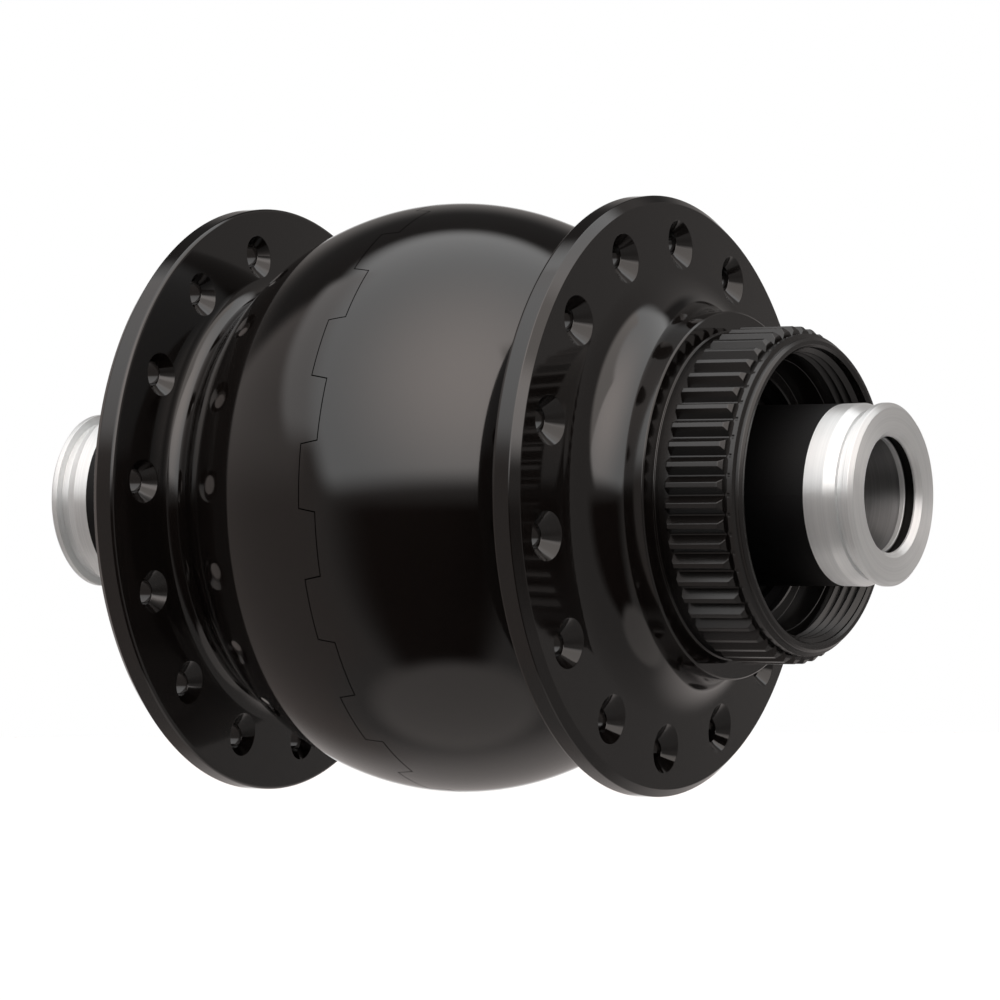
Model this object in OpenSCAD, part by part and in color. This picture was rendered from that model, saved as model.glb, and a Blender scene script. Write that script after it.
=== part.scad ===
// Hub dynamo for a disc-brake front wheel on a 12 mm through axle.
// The axle lies along Y, the brake-disc side is +Y and the middle of the hub is the origin.
// Everything is drawn along Z first, as it would be turned on a lathe, then laid along Y.
// A section is drawn as [radius, place along the axle].

/* [Axle] */
// Length over the two end caps
over_length = 100; // [98:0.5:110]
// Diameter of the hole for the fork's through axle
axle_bore_d = 12.1; // [12:0.05:12.4]
// Diameter of the axle tube, where the bearings sit
axle_tube_d = 17; // [16.5:0.1:17.3]
// Bore of the axle tube, a little wider than the end caps' bore
tube_bore_d = 12.7; // [12.5:0.1:13]
// Outer diameter of the end caps
cap_d = 19.1; // [19:0.1:20]
// Length of the end cap on the disc side
right_cap_len = 5.6; // [5.2:0.1:6.5]
// Length of the end cap on the wire side
left_cap_len = 4.9; // [4.7:0.1:6]
// Thickness of an end cap's front wall, which the axle tube butts against
cap_wall = 2.4; // [2.2:0.1:2.7]
// Outer diameter of the black spacer sleeves
sleeve_d = 19; // [18.8:0.1:19.4]

/* [Bearings] */
// Outer diameter of a bearing
bearing_d = 26; // [25.8:0.1:26.4]
// Width of a bearing
bearing_w = 5; // [4.6:0.1:5.4]
// Diameter of one ball
ball_d = 3; // [2.8:0.1:3.1]
// Number of balls in a bearing
ball_count = 15; // [12:1:16]
// Outer face of the disc-side bearing, from the middle of the hub
right_bearing_y = 31.5; // [31:0.1:32]
// Outer face of the wire-side bearing, from the middle of the hub
left_bearing_y = 35.5; // [35.2:0.1:37]

/* [Spoke flanges] */
// Diameter of the spoke flanges
flange_d = 63.7; // [63.6:0.1:68]
// Diameter of the circle that the spoke holes lie on
spoke_circle_d = 54; // [53.4:0.1:54.6]
// Number of spoke holes in each flange, and of teeth in the seam
spoke_count = 14; // [12:1:16]
// Diameter of a spoke hole
spoke_hole_d = 2.6; // [2.4:0.1:2.8]
// Diameter of the countersink at a spoke hole's outer end
spoke_sink_d = 5.2; // [4.8:0.1:5.4]
// Diameter of the countersink at its inner end
spoke_inner_sink_d = 4.6; // [4.2:0.1:4.8]
// Angle of the first spoke hole on the disc side, down from level
spoke_phase = 8.8; // [0:0.1:25]
// Thickness of a flange's rim
flange_rim = 2.1; // [1.8:0.1:2.4]
// Lean of each flange face, which thickens the flange from its rim inwards
flange_lean = 5.5; // [4.5:0.5:6.5]
// Inner edge of the disc-side rim, from the middle of the hub
right_flange_y = 20.4; // [20:0.1:21]
// Inner edge of the wire-side rim, from the middle of the hub
left_flange_y = 26.2; // [25.8:0.1:26.8]

/* [Barrel] */
// Largest diameter of the barrel
barrel_d = 63.5; // [63:0.1:64]
// Place of the largest diameter along the axle
barrel_mid = -2; // [-2.2:0.1:-1.8]
// Radius of the barrel's crown, which runs from flange to flange in one arc
crown_r = 29; // [28:0.5:30]
// Fillet between the barrel and a flange
neck_r = 1; // [0.8:0.1:1.3]
// Wall of the barrel beyond the generator
barrel_wall = 2.6; // [2.4:0.1:2.9]

/* [Castellated seam] */
// Tip plane of the wire-side shell's teeth
seam_y = -1; // [-1.4:0.1:-0.6]
// Height of the seam's teeth
seam_depth = 1.95; // [1.6:0.05:2.3]
// Draft of the teeth's flanks
seam_draft = 11; // [6:1:14]
// Open gap of the seam
seam_gap = 0.12; // [0.06:0.01:0.16]

/* [Disc mount] */
// Diameter of the shoulder that the brake disc stops against
shoulder_d = 38.8; // [38.2:0.1:39.6]
// Place of that shoulder along the axle
shoulder_y = 31.1; // [30.8:0.1:31.6]
// Radius of the fillet from the flange to the shoulder
shoulder_fillet = 5; // [4:0.1:5.2]
// Tip diameter of the spline
spline_tip_d = 35.4; // [35:0.1:36]
// Depth of the spline's grooves
spline_depth = 0.95; // [0.8:0.05:1.05]
// Number of teeth on the spline
spline_teeth = 52; // [48:1:54]
// Length of the spline's teeth
spline_len = 6.6; // [6:0.1:7]
// Width of the undercut between the shoulder and the spline
undercut_w = 1.5; // [1.2:0.1:1.8]
// Width of the smooth mouth in front of the spline
mouth_len = 1.75; // [1.5:0.05:2]
// Outer diameter of the mouth
mouth_d = 32.9; // [32.6:0.1:33.2]
// Bore for the lock ring's thread
thread_d = 30.9; // [30.5:0.1:31]
// Depth of that bore
thread_len = 4.6; // [4:0.1:5]

/* [Generator] */
// Number of claws on each half of the stator
claw_count = 13; // [11:1:14]
// Air gap between the claws and the magnets
air_gap = 0.35; // [0.3:0.05:0.6]
// Thickness of the magnets
magnet_t = 3; // [2.6:0.1:3.2]
// Length of the magnets and of their steel ring
magnet_len = 19; // [18:0.5:20]
// Thickness of the steel ring behind the magnets
flux_t = 2.2; // [2:0.1:2.6]
// Wall of the barrel's crown, over the steel ring that is pressed into both shells
crown_wall = 3.55; // [3.4:0.05:3.8]
// Length of the stator over its claw plates
stator_len = 18; // [17:0.5:18.5]
// Thickness of a claw plate
plate_t = 2.2; // [2:0.1:2.5]
// Thickness of a claw
claw_t = 2.6; // [2.3:0.1:2.8]
// Thickness of the coil's winding
coil_t = 5.25; // [4.8:0.05:5.6]

/* [Wire side] */
// Outer diameter of the connector's collar
collar_d = 25; // [24:0.5:26]
// Width of the connector's collar
collar_w = 3.8; // [3.4:0.1:4]
// Gap between the turning shell and the collar
collar_gap = 0.5; // [0.4:0.1:0.8]
// Height of the terminal block's top above the axle's centre
block_top = 17; // [16:0.5:18]
// Length of a contact blade above the block
blade_len = 6.3; // [5:0.1:7]
// Width of a contact blade
blade_w = 2.8; // [2.6:0.1:3]
// Thickness of a contact blade
blade_t = 0.8; // [0.6:0.1:0.9]
// Diameter of one insulated wire
wire_d = 0.9; // [0.8:0.05:1]

/* [Hidden] */
$fn = 96;

// Clearances: a slide fit on the axle, a seat in the shells, seal lips, balls and wires
slide_c = 0.02;
seat_c = 0.01;
lip_c = 0.06;
ball_c = 0.05;
cage_c = 0.12;
wire_c = 0.1;
// How far a cut reaches past the face that it opens
cut = 1;

// Ends of the hub and of its parts along the axle
half = over_length / 2;
tube_end = half - cap_wall;
right_sleeve_end = half - right_cap_len;
left_sleeve_end = half - left_cap_len;
tube_r = axle_tube_d / 2;
tube_bore_r = tube_bore_d / 2;
on_tube_r = tube_r + slide_c;
sleeve_r = sleeve_d / 2;

// End caps, measured inwards from the face
cap_r = cap_d / 2;
cap_bore_r = axle_bore_d / 2;
cap_edge = 0.3;
cap_ring = 1.55;
cap_step = 0.33;
cap_ramp_end = 3.5;
cap_mouth = 0.55;
cap_lip = 0.75;
cap_groove_end = 1.85;
cap_groove_depth = 0.5;

// Flanges: how far each face has leaned out at a radius, and where the outer face then is
flange_r = flange_d / 2;
rim_chamfer = 0.8;
rim_edge = 0.25;
function lean_at(r) = (flange_r - r) * tan(flange_lean);
function face_at(r) = flange_rim + rim_chamfer + lean_at(r);

// Barrel: centre of its arc, and of the fillet to a flange whose rim is at this distance from the
// barrel's middle, drawn as [radius, distance from the middle]
barrel_r = barrel_d / 2;
crown_axis = barrel_r - crown_r;
wall_arc_r = crown_r - barrel_wall;
right_reach = right_flange_y - barrel_mid;
left_reach = left_flange_y + barrel_mid;
function neck_centre(reach) =
    let (
        along = [cos(flange_lean), sin(flange_lean)],
        rim = [flange_r - crown_axis, reach] + neck_r * [sin(flange_lean), -cos(flange_lean)],
        back = rim * along,
        inward = back - sqrt(back * back - rim * rim + pow(crown_r + neck_r, 2))
    )
    [crown_axis, 0] + rim - inward * along;

// Seam: half a pitch is a tooth's mean width
seam_low = seam_y - seam_depth;
seam_tooth_w = 2 * barrel_r * sin(90 / spoke_count);
seam_lean = seam_depth * tan(seam_draft) / 2;

// Bearings: ball track, lands and cage
bearing_r = bearing_d / 2;
bearing_edge = 0.25;
track_r = (tube_r + bearing_r) / 2;
ball_r = ball_d / 2;
land_in_r = track_r - 0.32 * ball_d;
land_out_r = track_r + 0.32 * ball_d;
cage_t = 0.5 * ball_d;
cage_half_w = ball_r + 0.3;
seal_t = 0.4;
seal_inset = 0.15;
seal_seat = 0.3;
right_seat_y = right_bearing_y - bearing_w;
left_seat_y = left_bearing_y - bearing_w;
right_ball_y = right_bearing_y - bearing_w / 2;
left_ball_y = -left_bearing_y + bearing_w / 2;

// Bearing seats and retaining rings in the shells
bearing_lip_r = bearing_r - 1.6;
clip_t = 0.8;
clip_depth = 0.6;
clip_w = 1.9;
clip_gap = 44;
clip_ear_r = 1.15;
boss_end = left_bearing_y + clip_t + 0.7;
boss_r = bearing_r + 3.4;
boss_chamfer = 0.6;
boss_fillet = 4;
end_wall = 2.6;

// Disc mount, from the shoulder to the mouth
shoulder_r = shoulder_d / 2;
shoulder_edge = 0.15;
stop_r = shoulder_r - 2.1;
stop_step = 0.25;
tip_r = spline_tip_d / 2;
spline_root_r = tip_r - spline_depth;
spline_from = shoulder_y + undercut_w;
spline_to = spline_from + spline_len;
spline_tip_w = 0.57;
spline_root_w = 0.14;
spline_chamfer = 0.45;
spline_pitch = 2 * PI * tip_r / spline_teeth;
collar_from_teeth = 0.35;
collar_lip = 0.55;
collar_lip_r = spline_root_r + 0.12;
nick_len = 0.3;
mouth_y = spline_to + mouth_len;
mouth_r = mouth_d / 2;
mouth_edge = 0.3;
thread_r = thread_d / 2;
relief_from = right_bearing_y + clip_t + 0.6;
relief_step = 1.3;

// Magnets and steel ring
flux_r = barrel_r - crown_wall;
flux_lip = 1.4;
cavity_ramp = 2;
magnet_out_r = flux_r - flux_t;
magnet_in_r = magnet_out_r - magnet_t;
magnet_lo = barrel_mid - magnet_len / 2;
magnet_hi = barrel_mid + magnet_len / 2;
magnet_inset = 0.3;
magnet_split = 0.5;
o_ring_r = 0.45;
o_ring_y = (seam_y + seam_low) / 2;

// Stator
claw_r = magnet_in_r - air_gap;
claw_in_r = claw_r - claw_t;
claw_pitch = 2 * PI * claw_r / claw_count;
claw_root_w = 0.51 * claw_pitch;
claw_tip_w = 0.27 * claw_pitch;
claw_short = 1;
stator_lo = barrel_mid - stator_len / 2;
stator_hi = barrel_mid + stator_len / 2;
plate_r = claw_in_r - 2;
coil_r = claw_in_r - 0.8;
bobbin_r = coil_r - coil_t;
bobbin_wall = 1.1;
core_r = bobbin_r - bobbin_wall;
coil_lo = stator_lo + plate_t + bobbin_wall;
coil_hi = stator_hi - plate_t - bobbin_wall;
axle_shoulder_r = tube_r + 2.5;
axle_shoulder_t = 2.5;
washer_t = 1;
washer_r = tube_r + 3.5;
nut_t = 4;
nut_r = tube_r + 4;
nut_slots = 4;
nut_slot_w = 3;
nut_slot_depth = 1.2;
nut_lo = stator_lo - washer_t - nut_t;
spacer_r = land_in_r - 0.2;

// Wires: their groove in the axle tube, and where they turn up
wire_r = wire_d / 2;
wire_x = wire_r + wire_c;
groove_depth = wire_d + 0.3;
groove_half_w = 2 * wire_x;
wire_z = tube_r - groove_depth / 2;
inner_turn_y = stator_lo + plate_t / 2;
coil_entry_z = bobbin_r + wire_d;

// Connector on the wire side
collar_from = boss_end + collar_gap;
collar_to = collar_from + collar_w;
collar_mid = -(collar_from + collar_to) / 2;
collar_r = collar_d / 2;
collar_edge = 0.4;
block_half_w = blade_w + 2;
blade_x = blade_w / 2 + 0.5;
blade_foot_z = block_top - 4.2;
blade_tip = 0.6;

// Colours of the real finishes
black_anodised = "#26262a";
black_matt = "#141416";
bare_aluminium = "#b5b3b0";
bearing_steel = "#9a9a9c";
iron_grey = "#5c5c60";
magnet_grey = "#8d8f94";
black_nylon = "#1b1b1d";
black_rubber = "#101011";
copper_red = "#b06a38";
brass_yellow = "#c9a94f";

// Lays a piece that was drawn along Z onto the axle: its +Z becomes +Y, and its -Y becomes +Z
module on_axle() {
    rotate([-90, 0, 0]) children();
}

// Turns a section round the axle
module turned() {
    rotate_extrude() children();
}

// A plain ring between two radii and two places along the axle
module ring(inner, outer, from, to) {
    turned() translate([inner, from]) square([outer - inner, to - from]);
}

// Repeats a shape round the axle
module around(count, phase = 0) {
    for (i = [0 : count - 1]) rotate([0, 0, phase + i * 360 / count]) children();
}

// Stands a flat shape, drawn as [across, along the axle], so that it can be pushed out radially
module radial_prism(from, length) {
    translate([from, 0, 0]) rotate([90, 0, 90]) linear_extrude(length) children();
}

// Points along an arc round a centre, from one angle to another
function arc(centre, r, from, to, steps) =
    [for (i = [0 : steps]) let (t = from + (to - from) * i / steps) centre + r * [cos(t), sin(t)]];

// Points along the arc of radius r that rounds the corner p between its neighbours a and b
function fillet(p, a, b, r, steps = 9) =
    let (
        u = (a - p) / norm(a - p),
        v = (b - p) / norm(b - p),
        half_angle = acos(u * v) / 2,
        centre = p + (u + v) / norm(u + v) * r / sin(half_angle),
        first = p + u * r / tan(half_angle) - centre,
        last = p + v * r / tan(half_angle) - centre,
        from = atan2(first.y, first.x),
        turn = (atan2(last.y, last.x) - from + 540) % 360 - 180
    )
    arc(centre, r, from, from + turn, steps);

// Outline of one shell from the seam over the barrel and the flange to its boss: side is 1 on the
// disc side and -1 on the wire side, and places that follow side are measured outwards
function shell_outline(side, seam_at, flange_y, reach, boss, boss_to, boss_round) =
    let (
        edge_r = flange_r - rim_edge,
        chamfer_r = flange_r - rim_chamfer,
        neck = neck_centre(reach),
        crown_end = atan2(neck.y, neck.x - crown_axis),
        neck_step = (90 + crown_end - flange_lean) / 9,
        rim_in = [edge_r, side * (flange_y - lean_at(edge_r))],
        rim_out = [chamfer_r, side * (flange_y + face_at(chamfer_r))],
        foot = [boss, side * (flange_y + face_at(boss))]
    )
    concat(
        arc([crown_axis, barrel_mid], crown_r, asin((seam_at - barrel_mid) / crown_r),
            side * crown_end, 14),
        arc([neck.x, barrel_mid + side * neck.y], neck_r, side * (180 + crown_end - neck_step),
            side * (90 + flange_lean), 8),
        [
            rim_in,
            [flange_r, side * (flange_y + rim_edge)],
            [flange_r, side * (flange_y + flange_rim)],
            rim_out,
        ],
        fillet(foot, rim_out, [boss, side * boss_to], boss_round)
    );

// Spoke holes with a countersink at each face, for a flange whose rim starts at y = 0
module spoke_holes(phase) {
    outer_sink = (spoke_sink_d - spoke_hole_d) / 2;
    inner_sink = (spoke_inner_sink_d - spoke_hole_d) / 2;
    hole_r = spoke_circle_d / 2;
    face_lo = -lean_at(hole_r);
    face_hi = face_at(hole_r);
    around(spoke_count, phase) translate([hole_r, 0, 0]) {
        translate([0, 0, -2 * cut]) cylinder(d = spoke_hole_d, h = face_hi + 4 * cut);
        translate([0, 0, face_hi - outer_sink])
            cylinder(d1 = spoke_hole_d, d2 = spoke_sink_d + 2 * cut, h = outer_sink + cut);
        translate([0, 0, face_lo - cut])
            cylinder(d1 = spoke_inner_sink_d + 2 * cut, d2 = spoke_hole_d, h = inner_sink + cut);
    }
}

// Cuts the gaps between one shell's seam teeth: side is 1 for the wire-side shell, whose gaps
// open towards the disc side, and -1 for the other. Each cut takes half of the seam's open gap.
module seam_slots(side) {
    grow = seam_gap / 2;
    narrow = seam_tooth_w / 2 - seam_lean + grow;
    wide = seam_tooth_w / 2 + seam_lean + grow;
    bottom = side > 0 ? seam_low - grow : seam_y + grow;
    open = side > 0 ? seam_y : seam_low;
    around(spoke_count, spoke_phase + (side > 0 ? 180 / spoke_count : 0))
        radial_prism(flux_r - flux_lip, barrel_r - flux_r + flux_lip + cut)
            polygon([
                [-narrow, bottom],
                [narrow, bottom],
                [wide, open],
                [wide, open + side * cut],
                [-wide, open + side * cut],
                [-wide, open],
            ]);
}

// Cavity beyond the steel ring: it follows the barrel's arc, then runs straight to the end wall
module cavity_section(side, from, to, reach) {
    straight_r = neck_centre(reach).x - neck_r - barrel_wall;
    near = asin((side * (from - barrel_mid) + cavity_ramp) / wall_arc_r);
    bend = acos((straight_r - crown_axis) / wall_arc_r);
    polygon(concat(
        [
            [-cut, from - side * cut],
            [flux_r - flux_lip, from - side * cut],
            [flux_r - flux_lip, from],
        ],
        arc([crown_axis, barrel_mid], wall_arc_r, side * near, side * bend, 6),
        [
            [straight_r, to],
            [-cut, to],
        ]
    ));
}

module left_shell() {
    seam_at = seam_y - seam_gap / 2;
    end_face = -left_flange_y - face_at(boss_r) + end_wall;
    color(black_anodised) on_axle() difference() {
        turned() difference() {
            polygon(concat(
                [[0, seam_at]],
                shell_outline(-1, seam_at, left_flange_y, left_reach, boss_r, boss_end, boss_fillet),
                [
                    [boss_r, -boss_end + boss_chamfer],
                    [boss_r - boss_chamfer, -boss_end],
                    [0, -boss_end],
                ]
            ));
            translate([-cut, magnet_lo]) square([flux_r + seat_c + cut, half]);
            cavity_section(-1, magnet_lo, end_face, left_reach);
            translate([-cut, -half]) square([bearing_lip_r + cut, half]);
            translate([-cut, -half]) square([bearing_r + seat_c + cut, half - left_seat_y]);
            translate([-cut, -left_bearing_y - clip_t]) square([bearing_r + clip_depth + cut, clip_t]);
        }
        seam_slots(1);
        translate([0, 0, -left_flange_y]) mirror([0, 0, 1])
            spoke_holes(spoke_phase + 180 / spoke_count);
    }
}

// One groove between two spline teeth. The cutter runs out past the teeth and nicks the collar.
module spline_groove() {
    top = spline_pitch - spline_tip_w;
    spread = (top - spline_root_w) / 2 / spline_depth;
    translate([0, 0, spline_from - undercut_w / 3])
        linear_extrude(spline_len + undercut_w / 3 + collar_from_teeth + nick_len)
            polygon([
                [spline_root_r, -spline_root_w / 2],
                [tip_r + cut, -top / 2 - spread * cut],
                [tip_r + cut, top / 2 + spread * cut],
                [spline_root_r, spline_root_w / 2],
            ]);
}

// Outline of the disc mount, from the shoulder out to the mouth
function disc_mount_outline() =
    let (collar_y = spline_to + collar_from_teeth)
    [
        [shoulder_r, shoulder_y - shoulder_edge],
        [shoulder_r - shoulder_edge, shoulder_y],
        [stop_r, shoulder_y],
        [stop_r, shoulder_y + stop_step],
        [spline_root_r - 0.1, shoulder_y + stop_step],
        [spline_root_r - 0.1, spline_from],
        [tip_r - 0.2, spline_from],
        [tip_r, spline_from + 0.2],
        [tip_r, spline_to - spline_chamfer],
        [tip_r - spline_chamfer, spline_to],
        [spline_root_r - 0.1, spline_to],
        [spline_root_r - 0.1, collar_y],
        [collar_lip_r, collar_y],
        [collar_lip_r, collar_y + collar_lip],
        [mouth_r, collar_y + collar_lip + 0.2],
        [mouth_r, mouth_y - mouth_edge],
        [mouth_r - mouth_edge, mouth_y],
    ];

module right_shell() {
    seam_at = seam_low + seam_gap / 2;
    end_face = right_flange_y + face_at(shoulder_r) - end_wall;
    color(black_anodised) on_axle() difference() {
        turned() difference() {
            polygon(concat(
                [[0, seam_at]],
                shell_outline(1, seam_at, right_flange_y, right_reach, shoulder_r, shoulder_y,
                    shoulder_fillet),
                disc_mount_outline(),
                [[0, mouth_y]]
            ));
            translate([-cut, -half]) square([flux_r + seat_c + cut, half + magnet_hi]);
            cavity_section(1, magnet_hi, end_face, right_reach);
            translate([-cut, 0]) square([bearing_lip_r + cut, half]);
            translate([-cut, right_seat_y]) square([bearing_r + seat_c + cut, half]);
            translate([-cut, right_bearing_y]) square([bearing_r + clip_depth + cut, clip_t]);
            polygon([
                [-cut, relief_from],
                [bearing_r + seat_c, relief_from],
                [bearing_r + relief_step, relief_from + relief_step],
                [bearing_r + relief_step, mouth_y - thread_len],
                [thread_r, mouth_y - thread_len],
                [thread_r, mouth_y - mouth_edge],
                [thread_r + mouth_edge, mouth_y],
                [thread_r + mouth_edge, mouth_y + cut],
                [-cut, mouth_y + cut],
            ]);
        }
        around(spline_teeth) spline_groove();
        seam_slots(-1);
        translate([0, 0, right_flange_y]) spoke_holes(spoke_phase);
    }
}

module flux_ring() {
    groove_t = o_ring_r + slide_c;
    color(iron_grey) on_axle() turned() difference() {
        translate([magnet_out_r, magnet_lo]) square([flux_t, magnet_len]);
        translate([flux_r - o_ring_r - groove_t, o_ring_y - groove_t])
            square([o_ring_r + groove_t + cut, 2 * groove_t]);
    }
}

module rotor_magnets() {
    step = 180 / claw_count;
    color(magnet_grey) on_axle() around(2 * claw_count)
        rotate_extrude(angle = step - magnet_split)
            translate([magnet_in_r, magnet_lo + magnet_inset])
                square([magnet_t, magnet_len - 2 * magnet_inset]);
}

module shell_o_ring() {
    color(black_rubber) on_axle() turned() translate([flux_r - o_ring_r, o_ring_y]) circle(o_ring_r);
}

// Outer race: a ball track, and a stepped seat at each face for a seal
module outer_race(y) {
    seat_r = land_out_r + seal_seat;
    seat_w = seal_t + seal_inset;
    color(bearing_steel) on_axle() turned() difference() {
        translate([land_out_r, y - bearing_w / 2]) square([bearing_r - land_out_r, bearing_w]);
        translate([track_r, y]) circle(ball_r + ball_c);
        for (side = [-1, 1]) {
            translate([land_out_r - cut, y + side * (bearing_w - seat_w) / 2 - seat_w / 2])
                square([seat_r - land_out_r + cut, seat_w]);
            translate([bearing_r, y + side * bearing_w / 2]) rotate(45)
                square(bearing_edge * sqrt(2), center = true);
        }
    }
}

module inner_race(y) {
    color(bearing_steel) on_axle() turned() difference() {
        translate([on_tube_r, y - bearing_w / 2]) square([land_in_r - on_tube_r, bearing_w]);
        translate([track_r, y]) circle(ball_r + ball_c);
    }
}

// The two lip seals of one bearing, which turn with its outer race
module bearing_seals(y) {
    seal_in_r = land_in_r + lip_c;
    seal_out_r = land_out_r + seal_seat - seat_c;
    seal_off = (bearing_w - seal_t) / 2 - seal_inset;
    color(black_rubber) on_axle() for (side = [-1, 1])
        ring(seal_in_r, seal_out_r, y + side * seal_off - seal_t / 2, y + side * seal_off + seal_t / 2);
}

module bearing_balls(y) {
    color(bearing_steel) on_axle() around(ball_count) translate([track_r, 0, y]) sphere(ball_r);
}

module bearing_cage(y) {
    color(black_nylon) on_axle() difference() {
        ring(track_r - cage_t / 2, track_r + cage_t / 2, y - cage_half_w, y + cage_half_w);
        around(ball_count) translate([track_r - cage_t, 0, y]) rotate([0, 90, 0])
            cylinder(r = ball_r + cage_c, h = 2 * cage_t);
    }
}

// Spring ring in the groove outside a bearing, with two ears for its pliers
module retaining_ring(y) {
    outer = bearing_r + clip_depth - 0.05;
    inner = outer - clip_w;
    ear_at = inner + clip_ear_r * 0.35;
    color(iron_grey) on_axle() difference() {
        union() {
            rotate([0, 0, clip_gap / 2]) rotate_extrude(angle = 360 - clip_gap)
                translate([inner, y + 0.025]) square([clip_w, clip_t - 0.05]);
            for (side = [-1, 1]) rotate([0, 0, side * clip_gap / 2]) translate([ear_at, 0, y + 0.025])
                cylinder(r = clip_ear_r, h = clip_t - 0.05);
        }
        for (side = [-1, 1]) rotate([0, 0, side * clip_gap / 2]) translate([ear_at, 0, y - cut])
            cylinder(r = clip_ear_r * 0.45, h = clip_t + 2 * cut);
    }
}

module right_bearing_outer_race() { outer_race(right_ball_y); }
module left_bearing_outer_race() { outer_race(left_ball_y); }
module right_bearing_inner_race() { inner_race(right_ball_y); }
module left_bearing_inner_race() { inner_race(left_ball_y); }
module right_bearing_seals() { bearing_seals(right_ball_y); }
module left_bearing_seals() { bearing_seals(left_ball_y); }
module right_bearing_balls() { bearing_balls(right_ball_y); }
module left_bearing_balls() { bearing_balls(left_ball_y); }
module right_bearing_cage() { bearing_cage(right_ball_y); }
module left_bearing_cage() { bearing_cage(left_ball_y); }
module right_retaining_ring() { retaining_ring(right_bearing_y); }
module left_retaining_ring() { retaining_ring(-left_bearing_y - clip_t); }

// A box along the top of the axle tube, wide enough for the two wires side by side
module wire_channel(from, to, low, high) {
    translate([-groove_half_w, -high, from]) cube([2 * groove_half_w, high - low, to - from]);
}

module axle_tube() {
    channel_end = wire_r + wire_c;
    color(bare_aluminium) on_axle() difference() {
        turned() polygon([
            [tube_bore_r, -tube_end],
            [tube_r - cap_edge, -tube_end],
            [tube_r, -tube_end + cap_edge],
            [tube_r, stator_hi],
            [axle_shoulder_r, stator_hi],
            [axle_shoulder_r, stator_hi + axle_shoulder_t],
            [tube_r, stator_hi + axle_shoulder_t],
            [tube_r, tube_end - cap_edge],
            [tube_r - cap_edge, tube_end],
            [tube_bore_r, tube_end],
        ]);
        wire_channel(collar_mid - channel_end, inner_turn_y + channel_end,
            tube_r - groove_depth, tube_r + cut);
    }
}

// End cap, drawn with its face at y = 0 and its body towards -y
module end_cap(length) {
    turned() polygon([
        [cap_bore_r + cap_mouth, 0],
        [cap_r - cap_edge, 0],
        [cap_r, -cap_edge],
        [cap_r, -cap_ring],
        [cap_r - cap_step, -cap_ring - 0.1],
        [cap_r, -cap_ramp_end],
        [cap_r, -length],
        [on_tube_r, -length],
        [on_tube_r, -cap_wall],
        [cap_bore_r, -cap_wall],
        [cap_bore_r, -cap_groove_end],
        [cap_bore_r + cap_groove_depth, -cap_groove_end],
        [cap_bore_r + cap_groove_depth, -cap_lip],
        [cap_bore_r, -cap_lip],
        [cap_bore_r, -cap_mouth],
    ]);
}

module right_end_cap() {
    color(bare_aluminium) on_axle() translate([0, 0, half]) end_cap(right_cap_len);
}

module left_end_cap() {
    color(bare_aluminium) on_axle() mirror([0, 0, 1]) translate([0, 0, half]) end_cap(left_cap_len);
}

module right_sleeve() {
    color(black_matt) on_axle() ring(on_tube_r, sleeve_r, right_bearing_y, right_sleeve_end);
}

module left_sleeve() {
    slot = wire_r + wire_c;
    color(black_matt) on_axle() difference() {
        ring(on_tube_r, sleeve_r, -left_sleeve_end, -left_bearing_y);
        wire_channel(collar_mid - slot, collar_mid + slot, tube_r - cut, sleeve_r + cut);
    }
}

module right_spacer_tube() {
    color(bare_aluminium) on_axle() ring(on_tube_r, spacer_r, stator_hi + axle_shoulder_t, right_seat_y);
}

module left_spacer_tube() {
    color(bare_aluminium) on_axle() ring(on_tube_r, spacer_r, -left_seat_y, nut_lo);
}

// Claw plate, drawn with its outer face at y = 0 and its claws towards +y
module claw_plate() {
    reach = stator_len - claw_short;
    ring(on_tube_r, plate_r, 0, plate_t);
    intersection() {
        turned() {
            translate([plate_r - cut, 0]) square([claw_r - plate_r + cut, plate_t]);
            translate([claw_in_r, 0]) square([claw_t, reach]);
        }
        around(claw_count) radial_prism(plate_r - 2 * cut, claw_r - plate_r + 3 * cut)
            polygon([
                [-claw_root_w / 2, -cut],
                [claw_root_w / 2, -cut],
                [claw_root_w / 2, plate_t],
                [claw_tip_w / 2, reach + cut],
                [-claw_tip_w / 2, reach + cut],
                [-claw_root_w / 2, plate_t],
            ]);
    }
}

module left_claw_plate() {
    color(iron_grey) on_axle() difference() {
        translate([0, 0, stator_lo]) claw_plate();
        wire_channel(stator_lo - cut, stator_lo + plate_t + cut, 0, coil_entry_z + wire_r + wire_c);
    }
}

module right_claw_plate() {
    color(iron_grey) on_axle() rotate([0, 0, 180 / claw_count])
        translate([0, 0, stator_hi]) mirror([0, 0, 1]) claw_plate();
}

module stator_core() {
    color(iron_grey) on_axle() ring(on_tube_r, core_r, stator_lo + plate_t, stator_hi - plate_t);
}

module coil_bobbin() {
    rim_r = coil_r + 0.3;
    color(black_nylon) on_axle() difference() {
        turned() polygon([
            [core_r + slide_c, stator_lo + plate_t],
            [rim_r, stator_lo + plate_t],
            [rim_r, coil_lo],
            [bobbin_r, coil_lo],
            [bobbin_r, coil_hi],
            [rim_r, coil_hi],
            [rim_r, stator_hi - plate_t],
            [core_r + slide_c, stator_hi - plate_t],
        ]);
        for (side = [-1, 1]) translate([side * wire_x, -coil_entry_z, stator_lo])
            cylinder(r = wire_r + wire_c / 2, h = plate_t + bobbin_wall + wire_c);
    }
}

module copper_coil() {
    color(copper_red) on_axle() ring(bobbin_r + slide_c, coil_r, coil_lo + slide_c, coil_hi - slide_c);
}

module stator_washer() {
    color(bearing_steel) on_axle() ring(on_tube_r, washer_r, stator_lo - washer_t, stator_lo);
}

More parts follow.
